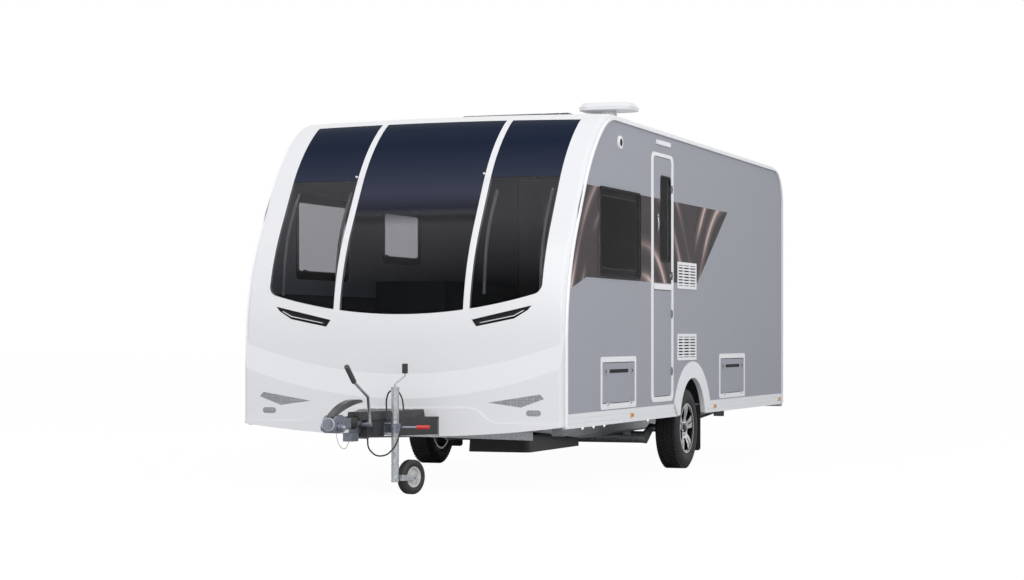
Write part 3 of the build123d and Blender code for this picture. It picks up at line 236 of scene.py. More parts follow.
def spangled(name, colour):
    """Hot-dip zinc: flat crystals of slightly different tone."""
    tree, shader = finish(name, colour, 0.42, Metallic=0.9)
    cells = node(tree, "ShaderNodeTexVoronoi")
    cells.inputs["Scale"].default_value = 90.0
    tree.links.new(object_point(tree), cells.inputs["Vector"])
    grey = node(tree, "ShaderNodeRGBToBW")
    tree.links.new(cells.outputs["Color"], grey.inputs["Color"])
    paint(tree, shader, grey.outputs["Val"], shaded(colour, 0.72), shaded(colour, 1.2))
    tree.links.new(spread(tree, grey.outputs["Val"], 0.3, 0.55), shader.inputs["Roughness"])


# Side graphic: station of its fold, the rings' centre as reach from the fold and height, its waves, and the
# stops of its ramp as place, colour (0 ground, 1 ribbon) and how much lighter
FOLD_STATION = 2.9
RING_REACH = 1.4
RING_HEIGHT = 0.6
RIBBON_WAVES = (("Scale", 0.5), ("Distortion", 2.6), ("Detail", 1.0), ("Detail Scale", 1.1))
RIBBON_STOPS = ((0.0, 0, 1.0), (0.34, 0, 0.75), (0.50, 0, 1.7), (0.60, 1, 0.36), (0.70, 1, 0.8),
                (0.78, 1, 1.3), (0.84, 1, 0.55), (0.90, 0, 2.0), (1.0, 0, 1.0))


def ribboned(name, ground, ribbon):
    """Silky ribbons on rings about a point below the graphic, mirrored about its fold."""
    tree, shader = finish(name, ground, 0.55, Specular_IOR_Level=0.12)
    drift = noise(tree, 0.9, 1.0, object_point(tree, (1.0, 0.6, 1.0)))
    point = parted(tree, object_point(tree))
    fold = reckoned(tree, "ABSOLUTE", reckoned(tree, "SUBTRACT", point["Y"], at(FOLD_STATION)))
    ringed = node(tree, "ShaderNodeCombineXYZ")
    tree.links.new(reckoned(tree, "SUBTRACT", fold, RING_REACH), ringed.inputs["Y"])
    tree.links.new(reckoned(tree, "SUBTRACT", point["Z"], RING_HEIGHT), ringed.inputs["Z"])
    bands = node(tree, "ShaderNodeTexWave", wave_type="RINGS", rings_direction="X", wave_profile="SIN")
    for key, value in RIBBON_WAVES:
        bands.inputs[key].default_value = value
    tree.links.new(ringed.outputs["Vector"], bands.inputs["Vector"])
    ramp = node(tree, "ShaderNodeValToRGB")
    ramp.color_ramp.interpolation = "EASE"
    ramp.color_ramp.elements.remove(ramp.color_ramp.elements[1])
    for place, which, amount in RIBBON_STOPS:
        element = ramp.color_ramp.elements[0] if place == 0.0 else ramp.color_ramp.elements.new(place)
        element.color = (*shaded((ground, ribbon)[which], amount), 1.0)
    tree.links.new(bands.outputs["Fac"], ramp.inputs["Fac"])
    paint(tree, shader, spread(tree, drift, 0.0, 1.0, 0.34, 0.46), ground, ramp.outputs["Color"])


# Front panes: heights between which the haze painted as reflected sky, the centre pane's coating and the
# blue set in, and how clear the glass stays in that haze and under the coating
SKY_HAZE_SPAN = (1.34, 1.80)
COATING_SPAN = (1.74, 2.02)
BLUE_SPAN = (1.80, 2.30)
SKY_HAZE_CLEAR = 0.95
COATED_CLEAR = 0.1


def coated_glass(name, tint, coating, glow):
    """Tinted front panes with a haze that grows upwards, painted as reflected sky, coated blue above.

    The coating sets in by and by on the centre pane, at their split on the outer ones. Low in it, glow is a
    paler blue painted as reflected sky.
    """
    tree, shader = finish(name, tint, 0.03, uneven=0.01, grain=20.0, depth=0.00002, IOR=1.12,
                          Specular_IOR_Level=0.3)
    point = parted(tree, object_point(tree))
    across = reckoned(tree, "ABSOLUTE", point["X"])
    height = point["Z"]
    outer = spread(tree, across, 0.0, 1.0, PILLAR_X - 0.005, PILLAR_X + 0.005)
    gradual = spread(tree, height, 0.0, 1.0, *COATING_SPAN)
    sudden = spread(tree, height, 0.0, 1.0, SPLIT_HEIGHT, SPLIT_HEIGHT + 0.004)
    coated = node(tree, "ShaderNodeMix", data_type="FLOAT")
    for socket, value in (("Factor", outer), ("A", gradual), ("B", sudden)):
        tree.links.new(value, coated.inputs[socket])
    amount = coated.outputs["Result"]
    # painted reflection: glow, a paler blue low in the coated band, turns into the coating's blue over
    # BLUE_SPAN
    shine = mixed(tree, spread(tree, height, 0.0, 1.0, *BLUE_SPAN), glow, coating)
    paint(tree, shader, spread(tree, amount, 0.0, 1.0, 0.0, 0.4), tint, shine)
    # painted reflection: the glass is made less clear upwards, a haze standing in for reflected sky
    through = node(tree, "ShaderNodeMix", data_type="FLOAT")
    through.inputs["B"].default_value = COATED_CLEAR
    tree.links.new(spread(tree, amount, 0.0, 1.0, 0.2, 0.8), through.inputs["Factor"])
    tree.links.new(spread(tree, height, 1.0, SKY_HAZE_CLEAR, *SKY_HAZE_SPAN), through.inputs["A"])
    tree.links.new(through.outputs["Result"], shader.inputs["Transmission Weight"])


def two_tone(name, face, pocket):
    """Cast wheel: bright machined face, darker paint in the pockets."""
    tree, shader = finish(name, face, 0.28, Metallic=0.85)
    normal = parted(tree, node(tree, "ShaderNodeTexCoord").outputs["Normal"])
    facing = reckoned(tree, "ABSOLUTE", normal["X"])
    paint(tree, shader, spread(tree, facing, 0.0, 1.0, 0.72, 0.86), pocket, face)


def gridded(name, ground, line, cell, axes):
    """Cells parted by thin lines, such as a solar panel's or a lens's."""
    tree, shader = finish(name, ground, 0.14, Coat_Weight=0.8)
    bricks = node(tree, "ShaderNodeTexBrick", offset=0.0)
    for key, value in (("Scale", 1.0), ("Mortar Size", cell * 0.03), ("Brick Width", cell),
                       ("Row Height", cell)):
        bricks.inputs[key].default_value = value
    for key, colour in (("Color1", ground), ("Color2", shaded(ground, 1.25)), ("Mortar", line)):
        bricks.inputs[key].default_value = (*colour, 1.0)
    tree.links.new(object_point(tree, turn=axes), bricks.inputs["Vector"])
    tree.links.new(bricks.outputs["Color"], shader.inputs["Base Color"])


def grained(name, colour, stretch, depth=0.0003):
    """Wood: long grain along one axis."""
    tree, shader = finish(name, colour, 0.6, Specular_IOR_Level=0.1)
    lines = noise(tree, 14.0, 6.0, object_point(tree, stretch))
    paint(tree, shader, lines, shaded(colour, 0.86), shaded(colour, 1.14))
    tree.links.new(raised(tree, lines, 0.4, depth), shader.inputs["Normal"])


def woven(name, colour):
    """Upholstery cloth with a plain weave."""
    tree, shader = finish(name, colour, 0.85, Sheen_Weight=0.4)
    weave = node(tree, "ShaderNodeTexChecker")
    weave.inputs["Scale"].default_value = 320.0
    tree.links.new(object_point(tree), weave.inputs["Vector"])
    paint(tree, shader, weave.outputs["Fac"], shaded(colour, 0.82), shaded(colour, 1.12))
    tree.links.new(raised(tree, weave.outputs["Fac"], 0.5, 0.0004), shader.inputs["Normal"])


# Mesh helpers

def settle(piece, material, slot, body=BODY, smooth=False):
    """Links a piece, gives it its finish and lets it ride on its body."""
    bpy.context.collection.objects.link(piece)
    piece.data.materials.append(bpy.data.materials[material])
    if smooth:
        for polygon in piece.data.polygons:
            polygon.use_smooth = True
    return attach(piece, body)


def soften(piece, width, segments=2):
    """Rounds a piece's sharp edges."""
    bevel = piece.modifiers.new("edges", "BEVEL")
    bevel.width = width
    bevel.segments = segments
    bevel.limit_method = "ANGLE"
    return piece


def mesh_from(name, shape):
    """Turns a built shape into a piece, its faces all outwards."""
    mesh = bpy.data.meshes.new(name)
    bmesh.ops.recalc_face_normals(shape, faces=shape.faces)
    shape.to_mesh(mesh)
    shape.free()
    return bpy.data.objects.new(name, mesh)


def carried(name, curve):
    """A piece with the mesh that a curve makes."""
    carrier = bpy.data.objects.new(name, curve)
    mesh = bpy.data.meshes.new_from_object(carrier)
    bpy.data.objects.remove(carrier)
    bpy.data.curves.remove(curve)
    mesh.materials.clear()
    return bpy.data.objects.new(name, mesh)


def plate(name, loops, thickness, placed):
    """Flat piece with holes: its first loop is the outline. Placed by a matrix, thickness centred."""
    curve = bpy.data.curves.new(name, "CURVE")
    curve.dimensions = "2D"
    curve.fill_mode = "BOTH"
    curve.extrude = thickness / 2
    for loop in loops:
        spline = curve.splines.new("POLY")
        spline.points.add(len(loop) - 1)
        for point, (u, v) in zip(spline.points, loop):
            point.co = (u, v, 0.0, 1.0)
        spline.use_cyclic_u = True
    piece = carried(name, curve)
    piece.data.transform(placed)
    return piece


def side_place(x):
    """Placing of a plate on a plane across X, drawn as (Y, Z)."""
    return Matrix.Translation((x, 0.0, 0.0)) @ SIDE_TURN


def nose_place(y):
    """Placing of a plate on a plane across Y, drawn as (X, Z)."""
    return Matrix.Translation((0.0, y, 0.0)) @ NOSE_TURN


def round_rect(start, end, low, high, radius, steps=6):
    """Rounded rectangle as (Y, Z) points, start and end given as stations."""
    points = []
    corners = ((at(end) - radius, high - radius, 0), (at(start) + radius, high - radius, 90),
               (at(start) + radius, low + radius, 180), (at(end) - radius, low + radius, 270))
    for u, v, turn in corners:
        for step in range(steps + 1):
            angle = math.radians(turn + 90.0 * step / steps)
            points.append((u + radius * math.cos(angle), v + radius * math.sin(angle)))
    return points


def grown(span, amount):
    """An opening made larger all round."""
    start, end, low, high = span
    return start - amount, end + amount, low - amount, high + amount


def lathe(name, profile, centre, segments=96):
    """Ring about the X axis through centre, from a closed profile of (x, radius)."""
    shape = bmesh.new()
    rings = []
    for step in range(segments):
        angle = 2 * math.pi * step / segments
        turned = [Vector((x, r * math.cos(angle), r * math.sin(angle))) for x, r in profile]
        rings.append([shape.verts.new(Vector(centre) + point) for point in turned])
    for ring, following in zip(rings, rings[1:] + rings[:1]):
        for i in range(len(profile)):
            j = (i + 1) % len(profile)
            shape.faces.new((ring[i], ring[j], following[j], following[i]))
    return mesh_from(name, shape)


def blocks(name, placements):
    """Small blocks joined into one mesh: each a matrix that scales and places a unit cube."""
    shape = bmesh.new()
    for placed in placements:
        bmesh.ops.create_cube(shape, size=1.0, matrix=placed)
    return mesh_from(name, shape)


def block(centre, size):
    """Matrix that scales a unit cube and places it."""
    return Matrix.Translation(centre) @ Matrix.Diagonal((*size, 1.0))


def buttons(name, centres, radius, depth, axis, sides=16, taper=0.72):
    """Tapered round heads along an axis, joined into one mesh."""
    shape = bmesh.new()
    turn = Vector((0, 0, 1)).rotation_difference(Vector(axis)).to_matrix().to_4x4()
    for centre in centres:
        bmesh.ops.create_cone(shape, cap_ends=True, segments=sides, radius1=radius, radius2=radius * taper,
                              depth=depth, matrix=Matrix.Translation(centre) @ turn)
    return mesh_from(name, shape)


def wire(name, points, radius, kind="NURBS"):
    """Round bar along a smooth curve, or with kind POLY along straight runs, as a mesh."""
    curve = bpy.data.curves.new(name, "CURVE")
    curve.dimensions = "3D"
    curve.bevel_depth = radius
    curve.bevel_resolution = 3
    curve.use_fill_caps = True
    spline = curve.splines.new(kind)
    spline.points.add(len(points) - 1)
    for point, place in zip(spline.points, points):
        point.co = (*place, 1.0)
    spline.order_u = 3
    spline.use_endpoint_u = True
    return carried(name, curve)


# The operators, in the order in which main calls them

CAD_FINISHES = {
    "gelcoat": ["front_lower", "front_upper", "rear_panel", "roof_panel", "roof_aerial"],
    "side_paint": ["side_wall_left", "side_wall_right", "door_upper", "door_lower", "locker_front_left",
                   "locker_front_right", "locker_rear_left", "locker_rear_right"],
    "white_trim": ["edge_rails", "door_frame", "locker_frames", "wall_vents", "rooflight_kerbs",
                   "awning_light"],
    "ribbed_skirt": ["skirts", "arch_trims"],
    "coated_glass": ["windows_front"],
    "tinted_glass": ["windows_side", "door_window", "rooflight_main", "rooflight_rear"],
    "zinc": ["chassis_frame", "drawbar_rails", "axle", "jockey_stand", "jockey_leg", "jockey_fork",
             "steady_front_left", "steady_front_right", "steady_rear_left", "steady_rear_right"],
    "cast_black": ["hitch_levers"],
    "bright_zinc": ["coupling_head", "overrun_unit", "jockey_clamp"],
    "black_moulding": ["drawbar_cover", "underslung_box", "wheel_boxes", "front_grips"],
    "soft_rubber": ["coupling_gaiter", "jockey_tyre", "supply_cable"],
    "wire_rope": ["breakaway_cable"],
    "cast_alloy": ["rim_left", "rim_right"],
    "grey_plastic": ["jockey_hub"],
    "clear_lens": ["front_lamps"],
    "red_lens": ["tail_lamps"],
    "amber_lens": ["side_markers"],
    "cell_grid": ["solar_panel"],
    "floor_ply": ["floor"],
    "dark_wood": ["interior_fittings"],
}

# Plain finishes: colour, roughness and what else differs from a plain one
PLAIN_FINISHES = {
    "ribbed_skirt": ((0.86, 0.87, 0.90), 0.38, {"tone": 0.03}),
    "cast_black": ((0.045, 0.045, 0.05), 0.4, {"grain": 180.0, "depth": 0.0004, "Coat_Weight": 0.2}),
    "black_moulding": ((0.028, 0.029, 0.032), 0.45, {"grain": 420.0, "depth": 0.0003}),
    "soft_rubber": ((0.02, 0.02, 0.02), 0.6, {"grain": 260.0}),
    "tyre_rubber": ((0.018, 0.018, 0.019), 0.72, {"grain": 340.0, "depth": 0.0003}),
    "wire_rope": ((0.5, 0.5, 0.5), 0.35, {"grain": 900.0, "depth": 0.0005, "Metallic": 0.9}),
    "bright_chrome": ((0.75, 0.76, 0.78), 0.12, {"Metallic": 1.0}),
    "grey_plastic": ((0.62, 0.62, 0.63), 0.4, {}),
    "seam_black": ((0.010, 0.010, 0.012), 0.6, {"Specular_IOR_Level": 0.15}),
    "red_plastic": ((0.55, 0.02, 0.02), 0.35, {}),
    "plate_blank": ((0.7, 0.7, 0.68), 0.4, {}),
    "shade_cloth": ((0.26, 0.255, 0.25), 0.8, {}),
}

# Finishes of cells: ground, lines between, width of a cell and how the grid is turned
FLAT = (0.0, 0.0, 0.0)
UPRIGHT = (math.radians(90), 0.0, 0.0)
CELL_FINISHES = {
    "clear_lens": ((0.27, 0.28, 0.30), (0.10, 0.105, 0.115), 0.022, UPRIGHT),
    "red_lens": ((0.42, 0.012, 0.012), (0.2, 0.005, 0.005), 0.014, UPRIGHT),
    "amber_lens": ((0.85, 0.40, 0.03), (0.6, 0.22, 0.01), 0.008, UPRIGHT),
    "cell_grid": ((0.014, 0.018, 0.045), (0.2, 0.21, 0.23), 0.125, FLAT),
}


class CARAVAN_OT_finishes(bpy.types.Operator):
    """Makes the materials and gives them to the carried-over pieces"""

    bl_idname = "caravan.finishes"
    bl_label = "Finishes"

    def execute(self, context):
        colours = context.scene.caravan_colours
        tint = tuple(colours.glazing)
        finish("gelcoat", tuple(colours.gelcoat), 0.3, tone=0.012, uneven=0.03, grain=60.0, depth=0.0001,
               Specular_IOR_Level=0.3, Coat_Weight=0.2, Coat_Roughness=0.05)
        finish("side_paint", tuple(colours.panel), 0.5, tone=0.02, grain=240.0, depth=0.00015,
               Specular_IOR_Level=0.15)
        finish("white_trim", tuple(colours.trim), 0.36, tone=0.02, grain=500.0)
        # the last colour is the glow, a pale blue painted as reflected sky low on the coating
        coated_glass("coated_glass", tint, tuple(colours.glazing_top), (0.058, 0.062, 0.092))
        finish("tinted_glass", tint, 0.03, tone=0.04, uneven=0.01, grain=20.0, depth=0.00002, IOR=1.04,
               Specular_IOR_Level=0.2, Transmission_Weight=1.0)
        for name, (colour, roughness, settings) in PLAIN_FINISHES.items():
            finish(name, colour, roughness, **settings)
        spangled("zinc", (0.50, 0.52, 0.54))
        spangled("bright_zinc", (0.25, 0.27, 0.32))
        two_tone("cast_alloy", (0.62, 0.63, 0.65), (0.05, 0.052, 0.056))
        ribboned("side_graphic", tuple(colours.band), tuple(colours.ribbon))
        for name, settings in CELL_FINISHES.items():
            gridded(name, *settings)
        grained("floor_ply", (0.085, 0.080, 0.078), (6.0, 0.6, 6.0))
        grained("dark_wood", (0.062, 0.070, 0.088), (1.6, 1.6, 0.2))
        woven("seat_cloth", (0.045, 0.048, 0.062))
        for material, nodes in CAD_FINISHES.items():
            for name in nodes:
                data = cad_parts[name].data
                data.materials.clear()
                data.materials.append(bpy.data.materials[material])
        return {"FINISHED"}


# Studio: its floor, its camera, and its lamps as place, aim, width and the size that sets their power
FLOOR_SIZE = 160.0
FLOOR_TONE = (0.48, 0.48, 0.49, 1.0)
FLOOR_GLOW = 1.04
FLOOR_BLEND = 0.93
CAMERA_PLACE = (5.795, -15.824, 1.0)
CAMERA_TURN = (90.0, 0.0, 20.49)
CAMERA_SENSOR = 36.0
CAMERA_SHIFT = 0.0458
CAMERA_REACH = 400.0
LAMPS = {"key": ((1.5, -11.0, 7.5), (0.0, -1.0, 1.2), 8.0, "key_power"),
         "side": ((10.0, -2.0, 6.0), (0.5, 0.5, 1.2), 7.0, "side_power"),
         "far_side": ((-9.0, 1.0, 5.0), (0.0, 0.0, 1.2), 6.0, "fill_power")}


class CARAVAN_OT_stage(bpy.types.Operator):
    """Sets the floor, the even sky, the lamps and the camera"""

    bl_idname = "caravan.stage"
    bl_label = "Stage"

    def execute(self, context):
        sizes = context.scene.caravan_sizes
        scene = context.scene
        scene.view_settings.view_transform = "Standard"
        world = bpy.data.worlds.new("studio")
        world.use_nodes = True
        scene.world = world
        tree = world.node_tree
        sky = tree.nodes["Background"]
        path = node(tree, "ShaderNodeLightPath")
        seen = path.outputs["Is Camera Ray"]
        for ray in ("Is Glossy Ray", "Is Transmission Ray"):
            either = node(tree, "ShaderNodeMath", operation="MAXIMUM")
            tree.links.new(seen, either.inputs[0])
            tree.links.new(path.outputs[ray], either.inputs[1])
            seen = either.outputs["Value"]
        tree.links.new(spread(tree, seen, sizes.sky, 1.0), sky.inputs["Strength"])
        sky.inputs["Color"].default_value = (1.0, 1.0, 1.0, 1.0)

        material = bpy.data.materials.new("studio_floor")
        material.use_nodes = True
        tree = material.node_tree
        shader = tree.nodes["Principled BSDF"]
        shader.inputs["Base Color"].default_value = FLOOR_TONE
        shader.inputs["Roughness"].default_value = 0.9
        glow = node(tree, "ShaderNodeEmission")
        glow.inputs["Strength"].default_value = FLOOR_GLOW
        blend = node(tree, "ShaderNodeMixShader")
        path = node(tree, "ShaderNodeLightPath")
        tree.links.new(spread(tree, path.outputs["Is Camera Ray"], 0.0, FLOOR_BLEND), blend.inputs["Fac"])
        tree.links.new(shader.outputs["BSDF"], blend.inputs[1])
        tree.links.new(glow.outputs["Emission"], blend.inputs[2])
        tree.links.new(blend.outputs["Shader"], tree.nodes["Material Output"].inputs["Surface"])
        bpy.ops.mesh.primitive_plane_add(size=FLOOR_SIZE, location=(0.0, 0.0, 0.0))
        floor = context.object
        floor.name = "studio_floor_plane"
        floor.data.materials.append(material)

        for name, (place, aim, width, power) in LAMPS.items():
            data = bpy.data.lights.new(name, "AREA")
            data.energy = getattr(sizes, power)
            data.size = width
            lamp = bpy.data.objects.new(name, data)
            lamp.location = place
            lamp.rotation_euler = (Vector(aim) - Vector(place)).to_track_quat("-Z", "Y").to_euler()
            context.collection.objects.link(lamp)

        data = bpy.data.cameras.new("view")
        data.lens = sizes.lens
        data.sensor_width = CAMERA_SENSOR
        data.shift_y = CAMERA_SHIFT
        data.clip_end = CAMERA_REACH
        camera = bpy.data.objects.new("view", data)
        camera.location = CAMERA_PLACE
        camera.rotation_euler = [math.radians(turn) for turn in CAMERA_TURN]
        context.collection.objects.link(camera)
        scene.camera = camera
        return {"FINISHED"}


# Side graphic: thickness of its film, rise of its lower edge behind the door and again behind the vent, and
# its edges at nose and tail as (station, height)
FILM = 0.0006
BAND_RISE = 0.01
NOSE_EDGE = ((0.363, BAND_HIGH), (0.262, 1.85), (0.180, 1.66), (0.118, 1.48), (0.080, 1.307),
             (0.412, BAND_LOW))
TAIL_EDGE = ((3.079, BAND_LOW + 2 * BAND_RISE), (3.960, BAND_HIGH))


def band_notch(opening):
    """Corners of the cut that a window makes into the band's upper edge."""
    start, end, low, _ = grown(opening, 0.003)
    return [(at(end), BAND_HIGH), (at(end), low), (at(start), low), (at(start), BAND_HIGH)]


class CARAVAN_OT_side_graphics(bpy.types.Operator):
    """Lays the printed band on the side walls and the upper door"""

    bl_idname = "caravan.side_graphics"
    bl_label = "Side graphics"

    def execute(self, context):
        window_hole = round_rect(*grown(LEFT_WINDOWS[0], 0.002), WINDOW_CORNER)
        nose = [(at(station), z) for station, z in NOSE_EDGE]
        tail = [(at(station), z) for station, z in TAIL_EDGE]
        door_front, door_rear = (at(station) for station in DOOR_SPAN)
        front = nose + [(door_front, BAND_LOW), (door_front, BAND_HIGH)]
        vent_front, vent_rear, _, vent_top = VENTS[0]
        rear = [(door_rear, BAND_LOW + BAND_RISE), (at(vent_front), BAND_LOW + BAND_RISE),
                (at(vent_front), vent_top), (at(vent_rear), vent_top),
                (at(vent_rear), BAND_LOW + 2 * BAND_RISE), *tail, (door_rear, BAND_HIGH)]
        leaf_front, leaf_rear = at(LEAF_SPAN[0] + 0.002), at(LEAF_SPAN[1] - 0.002)
        door = [(leaf_front, BAND_LOW), (leaf_rear, BAND_LOW), (leaf_rear, BAND_HIGH),
                *band_notch(DOOR_WINDOW), (leaf_front, BAND_HIGH)]
        right = nose + tail + band_notch(RIGHT_WINDOWS[1])
        for name, loops, face, body in (("band_front_left", [front, window_hole], WALL_FACE, BODY),
                                        ("band_rear_left", [rear], WALL_FACE, BODY),
                                        ("band_door", [door], WALL_FACE + FACE_PROUD, "door_upper"),
                                        ("band_right", [right, window_hole], -WALL_FACE - FILM, BODY)):
            piece = plate(name, loops, FILM, side_place(face + FILM / 2))
            settle(piece, "side_graphic", "panel_grey", body)
        return {"FINISHED"}


# Side windows: the dark border and the frame behind a pane, and the catches on the frame's lower bar
BORDER_WIDTH = 0.052
INNER_WIDTH = 0.010
CATCH_OFFSET = 0.3
CATCH_SIZE = (0.012, 0.05, 0.02)


def frame_loops(span, outside, inside, corners):
    """Outline and hole of a frame: how far each lies outside an opening, and their corner radii."""
    return [round_rect(*grown(span, amount), radius) for amount, radius in zip((outside, inside), corners)]


class CARAVAN_OT_window_fittings(bpy.types.Operator):
    """Rubbers, borders, inner frames and catches of the side windows, and the rubber of the door's"""

    bl_idname = "caravan.window_fittings"
    bl_label = "Window fittings"

    def fit(self, name, span, sign, width):
        """Fits out one side window."""
        rubber = plate(f"{name}_rubber", frame_loops(span, 0.001, -width, (0.041, 0.034)), 0.0024,
                       side_place(sign * (WALL_FACE + GLASS_PROUD + 0.0012)))
        settle(soften(rubber, 0.0008), *SEAM)
        border = plate(f"{name}_border", frame_loops(span, -0.001, -BORDER_WIDTH, (0.039, 0.030)), 0.002,
                       side_place(sign * (WALL_FACE - 0.0115)))
        settle(border, *SEAM)
        inner = frame_loops(span, -BORDER_WIDTH, -BORDER_WIDTH - INNER_WIDTH, (0.030, 0.026))
        bars = plate(f"{name}_inner_frame", inner, 0.006, side_place(sign * (WALL_FACE - 0.016)))
        settle(soften(bars, 0.0015), *MOULDED)
        middle = (span[0] + span[1]) / 2
        if CATCH_OFFSET < span[1] - middle:
            catches = [block((sign * (WALL_FACE - 0.022), at(middle + offset), span[2] + 0.06), CATCH_SIZE)
                       for offset in (-CATCH_OFFSET, CATCH_OFFSET)]
            settle(soften(blocks(f"{name}_catches", catches), 0.004), *MOULDED)

    def execute(self, context):
        width = context.scene.caravan_sizes.gasket
        for side, spans, sign in (("left", LEFT_WINDOWS, 1), ("right", RIGHT_WINDOWS, -1)):
            for index, span in enumerate(spans):
                self.fit(f"window_{side}_{index + 1}", span, sign, width)
        rubber = plate("door_window_rubber", frame_loops(DOOR_WINDOW, 0.004, -0.014, (0.034, 0.026)), 0.003,
                       side_place(WALL_FACE + FACE_PROUD + 0.0015))
        settle(soften(rubber, 0.001), *SEAM, "door_upper")
        return {"FINISHED"}


# Door: station and heights of the handle, heights of the joint between the leaves and of the rail over it,
# and the hinges' pin, levels and knuckles, the leaf's between the frame's two
HANDLE_STATION = 2.020
HANDLE_LOW = 1.755
HANDLE_HIGH = 1.895
LEAF_JOINT = (1.3385, 1.3415)
SPLIT_RAIL = (1.3435, 1.385)
HINGE_PIN = (WALL_FACE + 0.00835, at(LEAF_SPAN[1] + 0.006))
HINGE_LEVELS = {"door_lower": (0.748, 1.169), "door_upper": (1.450, 2.084)}
KNUCKLE_RADIUS = 0.00564
LEAF_KNUCKLE = (-0.0118, 0.0118)
FRAME_KNUCKLES = {"below": (-0.029, -0.0132), "above": (0.0132, 0.029)}


def leaf_strip(inset, low, high):
    """Rectangle over the width of the door's leaves, less an inset at each end."""
    start, end = at(LEAF_SPAN[0] + inset), at(LEAF_SPAN[1] - inset)
    return [(start, low), (end, low), (end, high), (start, high)]


def knuckle(name, z, span, body=BODY):
    """Dark cover round a part of a hinge pin."""
    run = [(*HINGE_PIN, z + span[0]), (*HINGE_PIN, z + span[1])]
    settle(wire(name, run, KNUCKLE_RADIUS, "POLY"), *MOULDED, body, True)


class CARAVAN_OT_door_fittings(bpy.types.Operator):
    """Handle, lock, rail and seal at the joint of the leaves, and the covers of the door's hinges"""

    bl_idname = "caravan.door_fittings"
    bl_label = "Door fittings"

    def execute(self, context):
        face = WALL_FACE + FACE_PROUD
        outline = round_rect(HANDLE_STATION - 0.026, HANDLE_STATION + 0.026, HANDLE_LOW, HANDLE_HIGH, 0.012)
        base = plate("handle_base", [outline], 0.003, side_place(face + 0.0018))
        settle(soften(base, 0.001), *MOULDED, "door_upper")
        y = at(HANDLE_STATION)
        pull = [(face + 0.003, y, HANDLE_LOW + 0.02), (face + 0.0072, y, HANDLE_LOW + 0.035),
                (face + 0.0072, y, HANDLE_HIGH - 0.05), (face + 0.003, y, HANDLE_HIGH - 0.035)]
        settle(wire("handle_pull", pull, 0.0042), *CHROMED, "door_upper", True)
        settle(buttons("door_lock", [(face + 0.0045, y, HANDLE_HIGH - 0.018)], 0.008, 0.004, (1, 0, 0)),
               *CHROMED, "door_upper")
        rail = plate("split_rail", [leaf_strip(0.001, *SPLIT_RAIL)], 0.003, side_place(face + 0.0015))
        settle(soften(rail, 0.001), *WHITE, "door_upper")
        for body, levels in HINGE_LEVELS.items():
            for index, z in enumerate(levels):
                knuckle(f"{body}_hinge_{index + 1}", z, LEAF_KNUCKLE, body)
                for end, span in FRAME_KNUCKLES.items():
                    knuckle(f"{body}_knuckle_{index + 1}_{end}", z, span)
        seal = plate("split_seal", [leaf_strip(0.004, *LEAF_JOINT)], 0.02, side_place(WALL_FACE - 0.016))
        settle(seal, *RUBBER, "door_lower")
        return {"FINISHED"}


# Locker doors: how far below their top the slot lies, its half height, and the insets of slot and latches
SLOT_DROP = 0.056
SLOT_HALF = 0.012
SLOT_INSET = 0.19
LATCH_INSET = 0.102


class CARAVAN_OT_locker_fittings(bpy.types.Operator):
    """Finger slots and latches of the locker doors"""

    bl_idname = "caravan.locker_fittings"
    bl_label = "Locker fittings"

    def execute(self, context):
        z = LOCKER_TOP - SLOT_DROP
        for sign, spans in ((1, LEFT_LOCKERS), (-1, RIGHT_LOCKERS)):
            face = sign * (WALL_FACE + FACE_PROUD)
            for body, (start, end) in spans.items():
                span = (start + SLOT_INSET, end - SLOT_INSET, z - SLOT_HALF, z + SLOT_HALF)
                slot = plate(f"{body}_slot", [round_rect(*span, 0.011)], 0.002,
                             side_place(face + sign * 0.0012))
                settle(soften(slot, 0.0006), "seam_black", "black_plastic", body)
                caps = [(face + sign * 0.0062, at(s), z) for s in (start + LATCH_INSET, end - LATCH_INSET)]
                settle(buttons(f"{body}_latches", caps, 0.011, 0.0022, (sign, 0, 0)), *MOULDED, body)
        return {"FINISHED"}


# Grab pockets under the front windows: their plane, their depth, and their outlines as (across, up from
# GRIP_HEIGHT) on that plane: the pocket's, filled with a dark sheet painted as the shade in the pocket, and
# a white strip painted as the highlight on the grip bar
GRIP_HEIGHT = 1.137
GRIP_Y = at(0.009) - 0.0455
GRIP_LEAN = math.radians(5.0)
GRIP_DEPTH = 0.014
GRIP_POCKET = [(0.500, -0.025), (0.531, -0.070), (0.792, -0.019), (0.881, 0.035), (0.908, 0.066)]
GRIP_HIGHLIGHT = [(0.560, -0.047), (0.562, -0.0435), (0.789, 0.0005), (0.852, 0.034), (0.858, 0.033),
              (0.791, -0.003)]

# Blind posts: distances off the middle and run as (station, height). Lean of the pillars' caps, and the flue
POSTS = {"inner": 0.53, "outer": 0.92}
POST_RUN = ((0.110, 1.28), (0.125, 1.50), (0.205, 1.76), (0.355, 1.97))
CAP_LEAN = math.radians(59.6)
FLUE = (WALL_FACE + 0.0127, at(1.124), 2.330)


def grip_place(sign, depth):
    """Placing of a plate at a depth below a grab pocket's face, mirrored by the sign."""
    sine, cosine = math.sin(GRIP_LEAN), math.cos(GRIP_LEAN)
    origin = Vector((0.0, GRIP_Y + depth * cosine, GRIP_HEIGHT - depth * sine))
    tilt = Matrix(((sign, 0, 0, 0), (0, sine, -cosine, 0), (0, cosine, sine, 0), (0, 0, 0, 1)))
    return Matrix.Translation(origin) @ tilt


